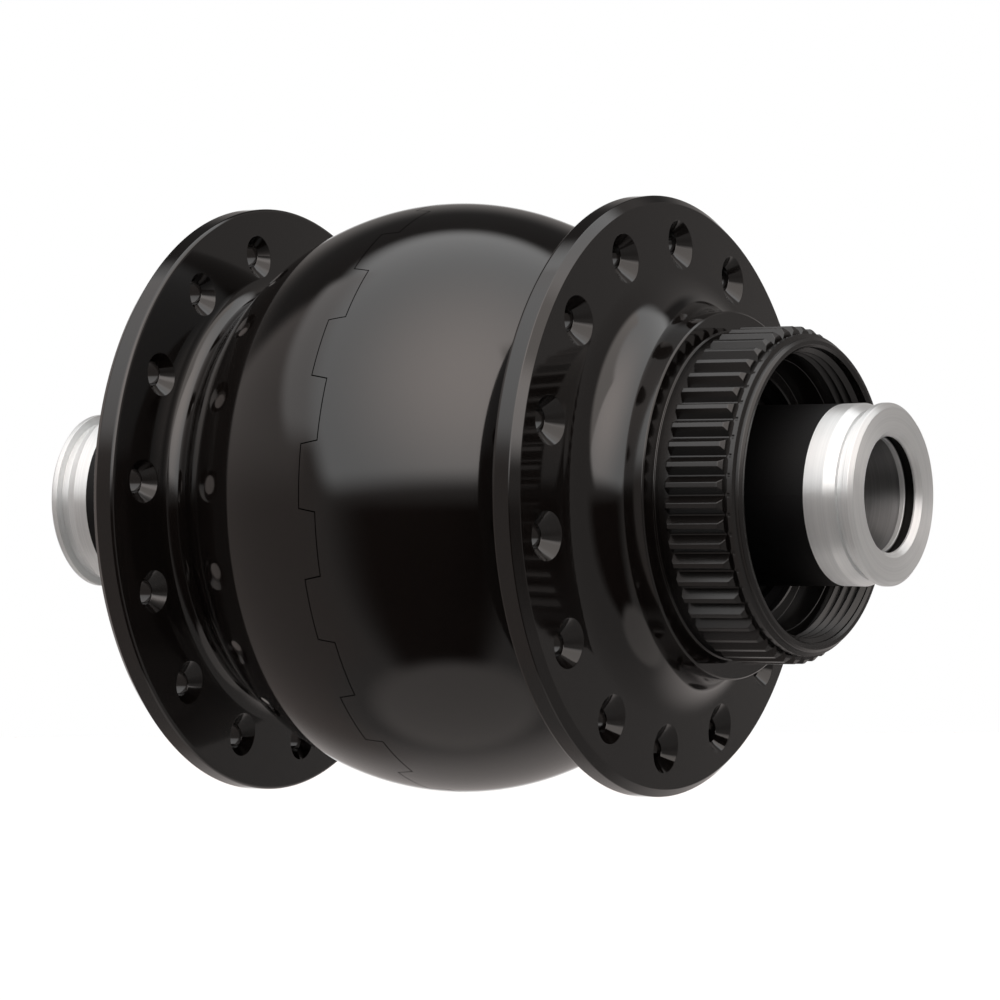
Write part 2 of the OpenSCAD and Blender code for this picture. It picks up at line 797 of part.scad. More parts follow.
// Ring nut that clamps the stator against the axle's shoulder, with slots for a hook spanner
module stator_nut() {
    color(bearing_steel) on_axle() difference() {
        ring(on_tube_r, nut_r, nut_lo, nut_lo + nut_t);
        around(nut_slots) translate([nut_r - nut_slot_depth, -nut_slot_w / 2, nut_lo - cut])
            cube([nut_slot_depth + cut, nut_slot_w, nut_t + 2 * cut]);
    }
}

// A straight stretch of one wire with rounded ends
module wire_run(a, b) {
    d = b - a;
    len = norm(d);
    translate(a) sphere(wire_r);
    translate(b) sphere(wire_r);
    translate(a) rotate([0, acos(d.z / len), atan2(d.y, d.x)]) cylinder(r = wire_r, h = len);
}

module lead_wires() {
    color(black_nylon) on_axle() for (side = [-1, 1]) {
        x = side * wire_x;
        wire_run([x, -blade_foot_z + wire_r, collar_mid], [x, -wire_z, collar_mid]);
        wire_run([x, -wire_z, collar_mid], [x, -wire_z, inner_turn_y]);
        wire_run([x, -wire_z, inner_turn_y], [x, -coil_entry_z, inner_turn_y]);
        wire_run([x, -coil_entry_z, inner_turn_y], [x, -coil_entry_z, coil_lo - wire_r]);
    }
}

module connector_collar() {
    slot = wire_r + wire_c;
    color(black_nylon) on_axle() difference() {
        union() {
            turned() polygon([
                [sleeve_r + slide_c, -collar_to],
                [collar_r - collar_edge, -collar_to],
                [collar_r, -collar_to + collar_edge],
                [collar_r, -collar_from - collar_edge],
                [collar_r - collar_edge, -collar_from],
                [sleeve_r + slide_c, -collar_from],
            ]);
            translate([-block_half_w, -block_top, -collar_to])
                cube([2 * block_half_w, block_top - sleeve_r - cut, collar_w]);
        }
        wire_channel(collar_mid - slot, collar_mid + slot, sleeve_r - cut, blade_foot_z);
        contact_blade_solids(slide_c);
    }
}

// The two flat contact blades, with chamfered tips
module contact_blade_solids(grow) {
    low = blade_foot_z - grow;
    high = block_top + blade_len;
    half_w = blade_w / 2 + grow;
    for (side = [-1, 1])
        translate([side * blade_x, 0, collar_mid - blade_t / 2 - grow])
            linear_extrude(blade_t + 2 * grow)
                polygon([
                    [-half_w, -low],
                    [half_w, -low],
                    [half_w, -high + blade_tip],
                    [half_w - blade_tip, -high],
                    [-half_w + blade_tip, -high],
                    [-half_w, -high + blade_tip],
                ]);
}

module contact_blades() {
    color(brass_yellow) on_axle() contact_blade_solids(0);
}

left_shell();
right_shell();
flux_ring();
rotor_magnets();
shell_o_ring();
right_bearing_outer_race();
left_bearing_outer_race();
right_bearing_seals();
left_bearing_seals();
right_retaining_ring();
left_retaining_ring();
right_bearing_balls();
right_bearing_cage();
left_bearing_balls();
left_bearing_cage();
axle_tube();
right_end_cap();
left_end_cap();
right_sleeve();
left_sleeve();
right_bearing_inner_race();
left_bearing_inner_race();
right_spacer_tube();
left_spacer_tube();
right_claw_plate();
left_claw_plate();
stator_core();
coil_bobbin();
copper_coil();
stator_washer();
stator_nut();
lead_wires();
connector_collar();
contact_blades();
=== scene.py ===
# Looks of a hub dynamo with two spoke flanges, a splined disc mount and a bore for a through axle.
# The axle lies along Y with the brake-disc side at +Y. Every place is in metres, in the part's own
# frame, and a piece that is turned here is drawn in millimetres.

import math

import bpy
import numpy as np
from mathutils import Matrix, Vector


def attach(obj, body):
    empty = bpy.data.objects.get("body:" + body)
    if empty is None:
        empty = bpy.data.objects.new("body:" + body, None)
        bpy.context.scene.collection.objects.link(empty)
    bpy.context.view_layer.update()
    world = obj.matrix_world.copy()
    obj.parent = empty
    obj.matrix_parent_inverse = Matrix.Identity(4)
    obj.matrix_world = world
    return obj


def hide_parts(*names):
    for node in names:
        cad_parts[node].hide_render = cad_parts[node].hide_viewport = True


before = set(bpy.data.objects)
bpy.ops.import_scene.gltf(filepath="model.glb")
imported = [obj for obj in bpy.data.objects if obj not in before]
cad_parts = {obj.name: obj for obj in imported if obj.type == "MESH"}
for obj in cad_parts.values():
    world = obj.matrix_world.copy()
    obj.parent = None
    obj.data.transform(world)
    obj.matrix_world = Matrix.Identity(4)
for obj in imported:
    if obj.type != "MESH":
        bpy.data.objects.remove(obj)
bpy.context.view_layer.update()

MM = 0.001


# Studio: a white sweep behind the hub, one large softbox hung over its near side, and an unlit
# room behind the camera. The polished hub mirrors all of it, so the room is painted on the world by
# direction, in degrees: a turn from +X towards +Y, and a height above the horizon.
def linear(hex_colour):
    """sRGB hex to the linear colour that a shader wants."""
    parts = [int(hex_colour[i:i + 2], 16) / 255 for i in (1, 3, 5)]
    return [c / 12.92 if c <= 0.04045 else ((c + 0.055) / 1.055) ** 2.4 for c in parts] + [1.0]


def add_node(tree, kind, inputs=None, **settings):
    """Adds a node. Each input goes by its name or number in Blender, and is a plain value or the
    output socket that feeds it."""
    made = tree.nodes.new("ShaderNode" + kind)
    for name, value in settings.items():
        setattr(made, name, value)
    for name, value in (inputs or {}).items():
        if isinstance(value, bpy.types.NodeSocket):
            tree.links.new(value, made.inputs[name])
        else:
            made.inputs[name].default_value = value
    return made


def direction(turn, height):
    """Unit vector for a turn from +X towards +Y and a height above the horizon, in degrees."""
    t, h = math.radians(turn), math.radians(height)
    return Vector((math.cos(t) * math.cos(h), math.sin(t) * math.cos(h), math.sin(h)))


camera_data = bpy.data.cameras.new("camera")
camera = bpy.data.objects.new("camera", camera_data)
bpy.context.scene.collection.objects.link(camera)
bpy.context.scene.camera = camera
camera_turn, camera_height, camera_roll = 30.927, -0.181, -0.302
camera_distance = 681.82 * MM
aim = Vector((-1.058, 1.765, -0.275)) * MM
camera_data.sensor_width = 36
camera_data.lens = 227.72
camera_data.clip_start, camera_data.clip_end = 0.05, 20
back = direction(camera_turn, camera_height)
camera.location = aim + back * camera_distance
upright = (-back).to_track_quat("-Z", "Y").to_matrix()
camera.rotation_mode = "QUATERNION"
camera.rotation_quaternion = (upright @ Matrix.Rotation(math.radians(camera_roll), 3, "Z")).to_quaternion()

world = bpy.data.worlds.new("studio")
bpy.context.scene.world = world
world.use_nodes = True
studio = world.node_tree
studio.nodes.clear()
towards = add_node(studio, "TexCoord").outputs["Generated"]


def radiance(tint, strength):
    """Light that a part of the room gives. White of strength 1 is the backdrop's."""
    return [c * strength for c in linear(tint)[:3]] + [1.0]


def paint(colour, mask, tint, strength):
    """Lays a tint of some strength over the room where the mask is 1."""
    painted = add_node(studio, "Mix", {0: mask, 6: colour, 7: radiance(tint, strength)}, data_type="RGBA")
    return painted.outputs[2]


def leaning(ray, vector, gone, full):
    """Mask of the rays that lean towards a vector: gone at one cosine and full at the other, with a
    smooth change between."""
    cosine = add_node(studio, "VectorMath", {0: ray, 1: vector}, operation="DOT_PRODUCT").outputs["Value"]
    return add_node(studio, "MapRange", {0: cosine, 1: gone, 2: full},
                    interpolation_type="SMOOTHSTEP").outputs[0]


def patch(turn, height, inner, outer):
    """Mask of a round patch of the room: full inside one angle and gone outside the other."""
    return leaning(towards, direction(turn, height),
                   math.cos(math.radians(outer)), math.cos(math.radians(inner)))


def product(*masks):
    """Mask of what several masks share."""
    result = masks[0]
    for mask in masks[1:]:
        result = add_node(studio, "Math", {0: result, 1: mask}, operation="MULTIPLY").outputs[0]
    return result


level = add_node(studio, "VectorMath", {0: towards, 1: (1, 1, 0)}, operation="MULTIPLY").outputs[0]
level = add_node(studio, "VectorMath", {0: level}, operation="NORMALIZE").outputs[0]


def sector(turn, inner, outer):
    """Mask of the room's walls to both sides of one turn, at every height."""
    return leaning(level, direction(turn, 0),
                   math.cos(math.radians(outer)), math.cos(math.radians(inner)))


def above(gone, full):
    """Mask of what lies over a height, or under it where gone is the higher of the two."""
    return leaning(towards, direction(0, 90),
                   math.sin(math.radians(gone)), math.sin(math.radians(full)))


def edge(first, second, inside, soft):
    """Mask of one side of a straight edge that runs through two directions."""
    normal = direction(*first).cross(direction(*second)).normalized()
    normal *= math.copysign(1, normal.dot(direction(*inside)))
    return leaning(towards, normal, -math.sin(math.radians(soft)), math.sin(math.radians(soft)))


# Room in general: grey walls, lit only by what the softbox spills
room = add_node(studio, "RGB").outputs[0]
room.default_value = radiance("#fff8f4", 0.24)
# Backdrop's foot and the table behind the hub
room = paint(room, patch(-157, -28, 15, 48), "#fff6f2", 0.52)
# Wall on the left, dim below and brighter upwards, and the unlit gap between it and the backdrop
room = paint(room, product(sector(-78, 35, 62), above(-62, -48), above(40, 20)), "#fff0e9", 0.26)
room = paint(room, product(sector(-66, 24, 34), above(-4, 20)), "#fff4ef", 0.46)
room = paint(room, product(sector(-138, 36, 50), above(18, 36), above(58, 50)), "#ffffff", 0.05)
# White ceiling, and the lit top of the wall
room = paint(room, above(50, 60), "#ffffff", 1.42)
room = paint(room, product(edge((-97, 48), (-52, 23), (-60, 42), 3), sector(-64, 33, 42), above(14, 26)),
             "#fffaf8", 1.06)
# Table under the hub, and the unlit room on the camera's side
room = paint(room, above(-61, -71), "#fff6f1", 0.52)
room = paint(room, product(sector(20, 22, 48), above(-70, -62), above(4, -6)), "#ffdcd0", 0.015)

# Softbox over the near side, brightest where its lamp stands and dimmer on its right wing
softbox = product(edge((-20, 4), (46, 7), (14, 40), 5.5), edge((-24, 6), (-50, 42), (14, 30), 5),
                  edge((52, 10), (96, 35), (14, 30), 4), patch(30, 50, 66, 76))
cloth_light, lamp_light = [1.42, 1.42, 1.42, 1.0], [2.75, 2.5, 2.38, 1.0]  # linear, over white
lamp = add_node(studio, "VectorMath", {0: towards, 1: direction(42, 45)}, operation="DOT_PRODUCT")
lamp = add_node(studio, "MapRange", {
    0: lamp.outputs["Value"], 1: math.cos(math.radians(62)), 2: math.cos(math.radians(5)),
})
lamp = add_node(studio, "Math", {0: lamp.outputs[0], 1: 2.0}, operation="POWER")
glow = add_node(studio, "Mix", {0: lamp.outputs[0], 6: cloth_light, 7: lamp_light},
                data_type="RGBA").outputs[2]
glow = paint(glow, product(sector(100, 34, 40), above(60, 52)), "#fff6f0", 1.38)
room = add_node(studio, "Mix", {0: softbox, 6: room, 7: glow}, data_type="RGBA").outputs[2]

# White backdrop: for the camera, for what it sees by something clear, and for mirrored rays that
# go there
ray = add_node(studio, "LightPath").outputs
seen = product(ray["Is Glossy Ray"], patch(-149, -1, 4, 15))
for kind in ("Is Camera Ray", "Is Transmission Ray"):
    seen = add_node(studio, "Math", {0: seen, 1: ray[kind]}, operation="MAXIMUM").outputs[0]
backdrop = add_node(studio, "Background", {"Color": linear("#ffffff"), "Strength": 1.0})
lighting = add_node(studio, "Background", {"Color": room, "Strength": 1.0})
shown = add_node(studio, "MixShader", {0: seen, 1: lighting.outputs[0], 2: backdrop.outputs[0]})
add_node(studio, "OutputWorld", {"Surface": shown.outputs[0]})
bpy.context.scene.view_settings.view_transform = "Standard"


# Floor: the table's pale painted top, below the hub and ending a hand's width in front of it. It
# throws soft light up on to the hub's underside.
def new_material(name):
    """An empty material and its node tree."""
    material = bpy.data.materials.new(name)
    material.use_nodes = True
    material.node_tree.nodes.clear()
    return material, material.node_tree


table_height, table_front = -80 * MM, 100 * MM
table_reach, table_half_width = 1.6, 1.0
forward = Vector((-back.x, -back.y, 0)).normalized()
aside = Vector((-forward.y, forward.x, 0)) * table_half_width
corners = [forward * along + aside * side + Vector((0, 0, table_height)) for along, side in (
    (-table_front, -1), (-table_front, 1), (table_reach, 1), (table_reach, -1))]
floor_mesh = bpy.data.meshes.new("floor")
floor_mesh.from_pydata(corners, [], [(0, 1, 2, 3)])
floor = bpy.data.objects.new("floor", floor_mesh)
bpy.context.scene.collection.objects.link(floor)
table_top, table_tree = new_material("white_table_top")
table_paint = add_node(table_tree, "BsdfDiffuse", {"Color": linear("#f4f4f4")})
add_node(table_tree, "OutputMaterial", {"Surface": table_paint.outputs[0]})
floor_mesh.materials.append(table_top)
floor.visible_glossy = False  # the room's own paint holds the table that the black finish mirrors


# Axle tube and spacer tubes: 7075 aluminium alloy, turned and left bare. Under the tool each got a
# fine spiral of feed marks, which run round the axle and drag every highlight across it.
def round_the_axle(tree):
    """Coordinates of a turned piece: distance from the axle's line, place along it, and 0 all round."""
    place = add_node(tree, "SeparateXYZ", {0: add_node(tree, "TexCoord").outputs["Object"]}).outputs
    flat = add_node(tree, "CombineXYZ", {0: place[0], 1: 0.0, 2: place[2]}).outputs[0]
    radius = add_node(tree, "VectorMath", {0: flat}, operation="LENGTH").outputs["Value"]
    return add_node(tree, "CombineXYZ", {0: radius, 1: place[1], 2: 0.0}).outputs[0]


def turned_bare_aluminium(name, feed, roughness, dark, light, metallic=1.0, painted_groove_shade=()):
    """Bare turned aluminium: pale grey, bright, with rings at the tool's feed. Painted shade, a near-black
    colour, covers what lies within four limits, for radius, depth, depth and radius. Each limit gives
    in mm where the painted shade is gone and where it is full."""
    material, tree = new_material(name)
    rings = round_the_axle(tree)
    marks = add_node(tree, "TexNoise", {"Vector": rings, "Scale": 1 / feed, "Detail": 2.0, "Roughness": 0.6})
    blotch = add_node(tree, "TexNoise", {"Vector": add_node(tree, "TexCoord").outputs["Object"],
                                         "Scale": 1 / (6 * MM), "Detail": 3.0})
    colour = add_node(tree, "Mix", {0: marks.outputs[0], 6: linear(dark), 7: linear(light)},
                      data_type="RGBA").outputs[2]
    if painted_groove_shade:
        place = add_node(tree, "SeparateXYZ", {0: rings}).outputs
        depth = add_node(tree, "Math", {0: place[1]}, operation="ABSOLUTE").outputs[0]
        groove_shade = 1.0
        for value, (gone, full) in zip((place[0], depth, depth, place[0]), painted_groove_shade):
            limit = add_node(tree, "MapRange", {0: value, 1: gone * MM, 2: full * MM}).outputs[0]
            groove_shade = add_node(tree, "Math", {0: groove_shade, 1: limit}, operation="MULTIPLY").outputs[0]
        # Painted shade: near-black colour inside the limits, where light hardly reaches into the lock groove
        colour = add_node(tree, "Mix", {0: groove_shade, 6: colour, 7: linear("#1b1a19")},
                          data_type="RGBA").outputs[2]
    rough = add_node(tree, "MapRange", {
        0: blotch.outputs[0], 1: 0.35, 2: 0.65, 3: roughness - 0.05, 4: roughness + 0.07,
    }).outputs[0]
    bump = add_node(tree, "Bump", {"Height": marks.outputs[0], "Strength": 0.5, "Distance": 0.03 * MM})
    along = add_node(tree, "Tangent", direction_type="RADIAL", axis="Y")
    metal = add_node(tree, "BsdfPrincipled", {
        "Base Color": colour, "Metallic": metallic, "Roughness": rough, "Anisotropic": 0.8,
        "Anisotropic Rotation": 0.25, "Tangent": along.outputs[0], "Normal": bump.outputs[0],
    })
    add_node(tree, "OutputMaterial", {"Surface": metal.outputs[0]})
    return material


def dress(material, *nodes):
    """Gives carried-over parts their finish."""
    for name in nodes:
        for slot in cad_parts[name].material_slots:
            slot.material = material


# Painted shade: the axle's grey is darker than the caps' grey of the same alloy, for the shade deep in the
# bore
axle_aluminium_painted_darker = turned_bare_aluminium("turned_aluminium_axle", feed=0.25 * MM, roughness=0.48,
                                       dark="#9b9c9d", light="#c3c4c5")
dress(axle_aluminium_painted_darker, "axle_tube", "right_spacer_tube", "left_spacer_tube")


# Stator iron: claw plates and core pressed from low-carbon steel and zinc plated, which leaves a
# soft blue-grey with a faint spangle.
def zinc_plated_iron():
    material, tree = new_material("zinc_plated_iron")
    place = add_node(tree, "TexCoord").outputs["Object"]
    spangle = add_node(tree, "TexVoronoi", {"Vector": place, "Scale": 1 / (0.8 * MM)}, feature="F1")
    stain = add_node(tree, "TexNoise", {"Vector": place, "Scale": 1 / (5 * MM), "Detail": 4.0})
    colour = add_node(tree, "Mix", {0: stain.outputs[0], 6: linear("#7c8086"), 7: linear("#a4a7ab")},
                      data_type="RGBA").outputs[2]
    rough = add_node(tree, "MapRange", {0: spangle.outputs["Distance"], 3: 0.36, 4: 0.5}).outputs[0]
    bump = add_node(tree, "Bump", {"Height": stain.outputs[0], "Strength": 0.2, "Distance": 0.02 * MM})
    metal = add_node(tree, "BsdfPrincipled", {
        "Base Color": colour, "Metallic": 1.0, "Roughness": rough, "Normal": bump.outputs[0],
    })
    add_node(tree, "OutputMaterial", {"Surface": metal.outputs[0]})
    return material


dress(zinc_plated_iron(), "right_claw_plate", "left_claw_plate", "stator_core", "flux_ring")


# Magnets: sintered neodymium blocks, ground to size and nickel plated. The plating is smooth and
# gives them a clear, slightly yellow shine.
def nickel_plated_magnet():
    material, tree = new_material("nickel_plated_magnet")
    place = add_node(tree, "TexCoord").outputs["Object"]
    grain = add_node(tree, "TexNoise", {"Vector": place, "Scale": 1 / (0.4 * MM), "Detail": 2.0})
    colour = add_node(tree, "Mix", {0: grain.outputs[0], 6: linear("#aaa69c"), 7: linear("#c4c0b6")},
                      data_type="RGBA").outputs[2]
    bump = add_node(tree, "Bump", {"Height": grain.outputs[0], "Strength": 0.25, "Distance": 0.01 * MM})
    metal = add_node(tree, "BsdfPrincipled", {
        "Base Color": colour, "Metallic": 1.0, "Roughness": 0.28, "Normal": bump.outputs[0],
    })
    add_node(tree, "OutputMaterial", {"Surface": metal.outputs[0]})
    return material


dress(nickel_plated_magnet(), "rotor_magnets")


# Coil: enamelled copper wire of 0.4 mm, wound in layers round its bobbin. The turns lie side by
# side, so the coil shows fine ridges with a red-brown gloss.
def wound_copper():
    wire = 0.4 * MM
    wave_period = 0.314  # of Blender's wave texture at scale 1
    material, tree = new_material("enamelled_copper_winding")
    turns = add_node(tree, "TexWave", {
        "Vector": round_the_axle(tree), "Scale": wave_period / wire, "Distortion": 0.3,
    }, wave_type="BANDS", bands_direction="Y")
    colour = add_node(tree, "Mix", {0: turns.outputs[0], 6: linear("#5e2b14"), 7: linear("#b4683a")},
                      data_type="RGBA").outputs[2]
    bump = add_node(tree, "Bump", {"Height": turns.outputs[0], "Strength": 1.0, "Distance": wire / 2})
    metal = add_node(tree, "BsdfPrincipled", {
        "Base Color": colour, "Metallic": 1.0, "Roughness": 0.25, "Normal": bump.outputs[0],
    })
    add_node(tree, "OutputMaterial", {"Surface": metal.outputs[0]})
    return material


dress(wound_copper(), "copper_coil")


# Nylon parts: bobbin, ball cages, wire covers and the connector's collar, moulded in black glass-
# filled nylon. The skin is dull with a fine uneven grain.
def moulded_black_nylon():
    material, tree = new_material("moulded_black_nylon")
    place = add_node(tree, "TexCoord").outputs["Object"]
    grain = add_node(tree, "TexNoise", {"Vector": place, "Scale": 1 / (0.25 * MM), "Detail": 3.0})
    rough = add_node(tree, "MapRange", {0: grain.outputs[0], 1: 0.3, 2: 0.7, 3: 0.42, 4: 0.58}).outputs[0]
    bump = add_node(tree, "Bump", {"Height": grain.outputs[0], "Strength": 0.4, "Distance": 0.02 * MM})
    plastic = add_node(tree, "BsdfPrincipled", {
        "Base Color": linear("#141415"), "Roughness": rough, "IOR": 1.53, "Normal": bump.outputs[0],
    })
    add_node(tree, "OutputMaterial", {"Surface": plastic.outputs[0]})
    return material


dress(moulded_black_nylon(), "coil_bobbin", "right_bearing_cage", "left_bearing_cage", "lead_wires",
      "connector_collar")


# Contact blades: brass strip, stamped. The rolled face shows fine lines along the blade, and the
# bare metal gives a warm yellow shine.
def stamped_brass():
    line_width, line_length = 0.1 * MM, 3 * MM
    material, tree = new_material("stamped_brass")
    place = add_node(tree, "TexCoord").outputs["Object"]
    drawn = add_node(tree, "Mapping", {
        "Vector": place, "Scale": (1 / line_width, 1 / line_width, 1 / line_length),
    })
    lines = add_node(tree, "TexNoise", {"Vector": drawn.outputs[0], "Scale": 1.0, "Detail": 2.0})
    colour = add_node(tree, "Mix", {0: lines.outputs[0], 6: linear("#b08d3c"), 7: linear("#d8b865")},
                      data_type="RGBA").outputs[2]
    bump = add_node(tree, "Bump", {"Height": lines.outputs[0], "Strength": 0.2, "Distance": 0.01 * MM})
    metal = add_node(tree, "BsdfPrincipled", {
        "Base Color": colour, "Metallic": 1.0, "Roughness": 0.3, "Normal": bump.outputs[0],
    })
    add_node(tree, "OutputMaterial", {"Surface": metal.outputs[0]})
    return material


dress(stamped_brass(), "contact_blades")


# Bearing races and balls, stator washer and ring nut: chromium steel, hardened and ground. Ground
# steel is a cool bright grey with hair-fine rings.
def ground_steel():
    material, tree = new_material("ground_bearing_steel")
    grinding = add_node(tree, "TexNoise", {
        "Vector": round_the_axle(tree), "Scale": 1 / (0.12 * MM), "Detail": 1.0,
    })
    colour = add_node(tree, "Mix", {0: grinding.outputs[0], 6: linear("#a3a5a8"), 7: linear("#c6c8ca")},
                      data_type="RGBA").outputs[2]
    bump = add_node(tree, "Bump", {"Height": grinding.outputs[0], "Strength": 0.15, "Distance": 0.01 * MM})
    metal = add_node(tree, "BsdfPrincipled", {
        "Base Color": colour, "Metallic": 1.0, "Roughness": 0.2, "Normal": bump.outputs[0],
    })
    add_node(tree, "OutputMaterial", {"Surface": metal.outputs[0]})
    return material


dress(ground_steel(), "right_bearing_outer_race", "left_bearing_outer_race", "right_bearing_inner_race",
      "left_bearing_inner_race", "right_bearing_balls", "left_bearing_balls", "stator_washer", "stator_nut")


# Retaining rings: spring steel, punched out and blued in oil. The blueing leaves a dark skin that
# shines dully beside the bright races.
def blued_spring_steel():
    material, tree = new_material("blued_spring_steel")
    place = add_node(tree, "TexCoord").outputs["Object"]
    stain = add_node(tree, "TexNoise", {"Vector": place, "Scale": 1 / (1.5 * MM), "Detail": 4.0})
    colour = add_node(tree, "Mix", {0: stain.outputs[0], 6: linear("#151517"), 7: linear("#222226")},
                      data_type="RGBA").outputs[2]
    metal = add_node(tree, "BsdfPrincipled", {"Base Color": colour, "Metallic": 1.0, "Roughness": 0.38})
    add_node(tree, "OutputMaterial", {"Surface": metal.outputs[0]})
    return material


dress(blued_spring_steel(), "right_retaining_ring", "left_retaining_ring")


# Seals: nitrile rubber, moulded under heat. It is nearly black, and the mould leaves a soft satin
# skin on it.
def moulded_nitrile_rubber():
    material, tree = new_material("moulded_nitrile_rubber")
    place = add_node(tree, "TexCoord").outputs["Object"]
    skin = add_node(tree, "TexNoise", {"Vector": place, "Scale": 1 / (0.2 * MM), "Detail": 2.0})
    rough = add_node(tree, "MapRange", {0: skin.outputs[0], 1: 0.3, 2: 0.7, 3: 0.4, 4: 0.55}).outputs[0]
    bump = add_node(tree, "Bump", {"Height": skin.outputs[0], "Strength": 0.3, "Distance": 0.02 * MM})
    rubber = add_node(tree, "BsdfPrincipled", {
        "Base Color": linear("#0e0e0f"), "Roughness": rough, "IOR": 1.52, "Normal": bump.outputs[0],
    })
    add_node(tree, "OutputMaterial", {"Surface": rubber.outputs[0]})
    return material


dress(moulded_nitrile_rubber(), "shell_o_ring", "right_bearing_seals", "left_bearing_seals")


# Shells: forged and turned aluminium alloy, polished and anodised black. The clear oxide over the
# dye gives a deep, slightly warm black with sharp reflections. Past the collar the disc side is left
# as cut, so its spline and mouth shine more softly. Each shell is turned here in fine rings with
# many of its edges rounded, and each corner of a face keeps the true normal of the turned form.
def black_anodised_gloss():
    polished_to, cut_from = 31.2 * MM, 31.3 * MM
    material, tree = new_material("black_anodised_gloss")
    rings = round_the_axle(tree)
    polish = add_node(tree, "TexNoise", {"Vector": rings, "Scale": 1 / (0.35 * MM), "Detail": 2.0})
    haze = add_node(tree, "TexNoise", {"Vector": add_node(tree, "TexCoord").outputs["Object"],
                                       "Scale": 1 / (9 * MM), "Detail": 4.0})
    colour = add_node(tree, "Mix", {0: haze.outputs[0], 6: linear("#0c0a09"), 7: linear("#0f0c0b")},
                      data_type="RGBA").outputs[2]
    polished = add_node(tree, "MapRange", {0: haze.outputs[0], 1: 0.3, 2: 0.7, 3: 0.06, 4: 0.09}).outputs[0]
    place = add_node(tree, "SeparateXYZ", {0: rings}).outputs[1]
    as_cut = add_node(tree, "MapRange", {0: place, 1: polished_to, 2: cut_from}).outputs[0]
    rough = add_node(tree, "Mix", {0: as_cut, 2: polished, 3: 0.27}, data_type="FLOAT").outputs[0]
    bump = add_node(tree, "Bump", {"Height": polish.outputs[0], "Strength": 0.04, "Distance": 0.01 * MM})
    oxide = add_node(tree, "BsdfPrincipled", {
        "Base Color": colour, "Roughness": rough, "IOR": 1.65, "Normal": bump.outputs[0],
    })
    add_node(tree, "OutputMaterial", {"Surface": oxide.outputs[0]})
    return material


shell_finish = black_anodised_gloss()

# Columns round the axle: 26 to each spoke hole and seam tooth, 7 to each spline tooth
columns = 364
spoke_holes, spline_teeth = 14, 52
per_hole, per_tooth = columns // spoke_holes, columns // spline_teeth
spoke_phase = 8.8  # degrees from +X down to the first hole
column_angles = spoke_phase + np.arange(columns) * 360 / columns


def across(angle):
    """Unit vectors away from the axle and round it, at an angle down from level."""
    a = np.radians(angle)
    zero = np.zeros_like(a)
    return np.stack([np.cos(a), zero, -np.sin(a)], -1), np.stack([-np.sin(a), zero, -np.cos(a)], -1)


class Skin:
    """The faces of one turned piece. Places along the axle are measured outwards on its own side."""

    def __init__(self, side):
        self.side = side
        self.points, self.faces, self.normals = [], [], []
        self.count = 0

    def row(self, radius, place, angle):
        """Adds a row of vertices and gives their numbers."""
        radius, place, angle = np.broadcast_arrays(radius, place, np.asarray(angle, float))
        out, _ = across(angle)
        self.points.append(out * radius[..., None] + np.array([0, self.side, 0]) * place[..., None])
        self.count += len(radius)
        return np.arange(self.count - len(radius), self.count)

    def lean(self, normal, angle):
        """A section's normal, [away from the axle, outwards along it], turned to each angle."""
        out, _ = across(angle)
        return out * normal[0] + np.array([0, self.side * normal[1], 0])

    def quads(self, corners, normals):
        """Adds faces from four rows of vertices and four rows of normals."""
        self.faces.append(np.stack(corners, 1))
        self.normals.append(np.stack([np.broadcast_to(n, corners[0].shape + (3,)) for n in normals], 1))

    def strip(self, low, high, low_angle, high_angle, low_normal, high_normal, cells=None):
        """Faces between two rings, with a section's normal on each."""
        here = np.arange(columns) if cells is None else cells
        there = (here + 1) % columns
        self.quads((low[here], low[there], high[there], high[here]),
                   (self.lean(low_normal, low_angle[here]), self.lean(low_normal, low_angle[there]),
                    self.lean(high_normal, high_angle[there]), self.lean(high_normal, high_angle[here])))

    def build(self, name, body, node, slot, finish):
        """Makes the piece, with each face turned to agree with its normals. It can replace a node."""
        points = np.concatenate(self.points) * MM
        faces = np.concatenate(self.faces)
        normals = np.concatenate(self.normals)
        used, numbers = np.unique(faces, return_inverse=True)
        points, faces = points[used], numbers.reshape(faces.shape)
        p = points[faces]
        facing_out = np.cross(p[:, 2] - p[:, 0], p[:, 3] - p[:, 1])
        inward = np.einsum("ij,ij->i", facing_out, normals.sum(1)) < 0
        faces[inward] = faces[inward][:, ::-1]
        normals[inward] = normals[inward][:, ::-1]
        mesh = bpy.data.meshes.new(name)
        mesh.from_pydata(points.tolist(), [], faces.tolist())
        mesh.polygons.foreach_set("use_smooth", np.ones(len(faces), bool))
        lengths = np.linalg.norm(normals, axis=2, keepdims=True)
        mesh.normals_split_custom_set((normals / lengths).reshape(-1, 3).tolist())
        mesh.materials.append(finish)
        piece = bpy.data.objects.new(name, mesh)
        bpy.context.scene.collection.objects.link(piece)
        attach(piece, body)
        if node:
            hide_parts(node)


def arc_band(centre, radius, start, end, steps, hollow=False):
    """Points along an arc of a section, with the normals of a round or a hollow form."""
    t = np.radians(np.linspace(start, end, steps + 1))
    out = np.stack([np.cos(t), np.sin(t)], 1)
    return np.array(centre) + radius * out, -out if hollow else out


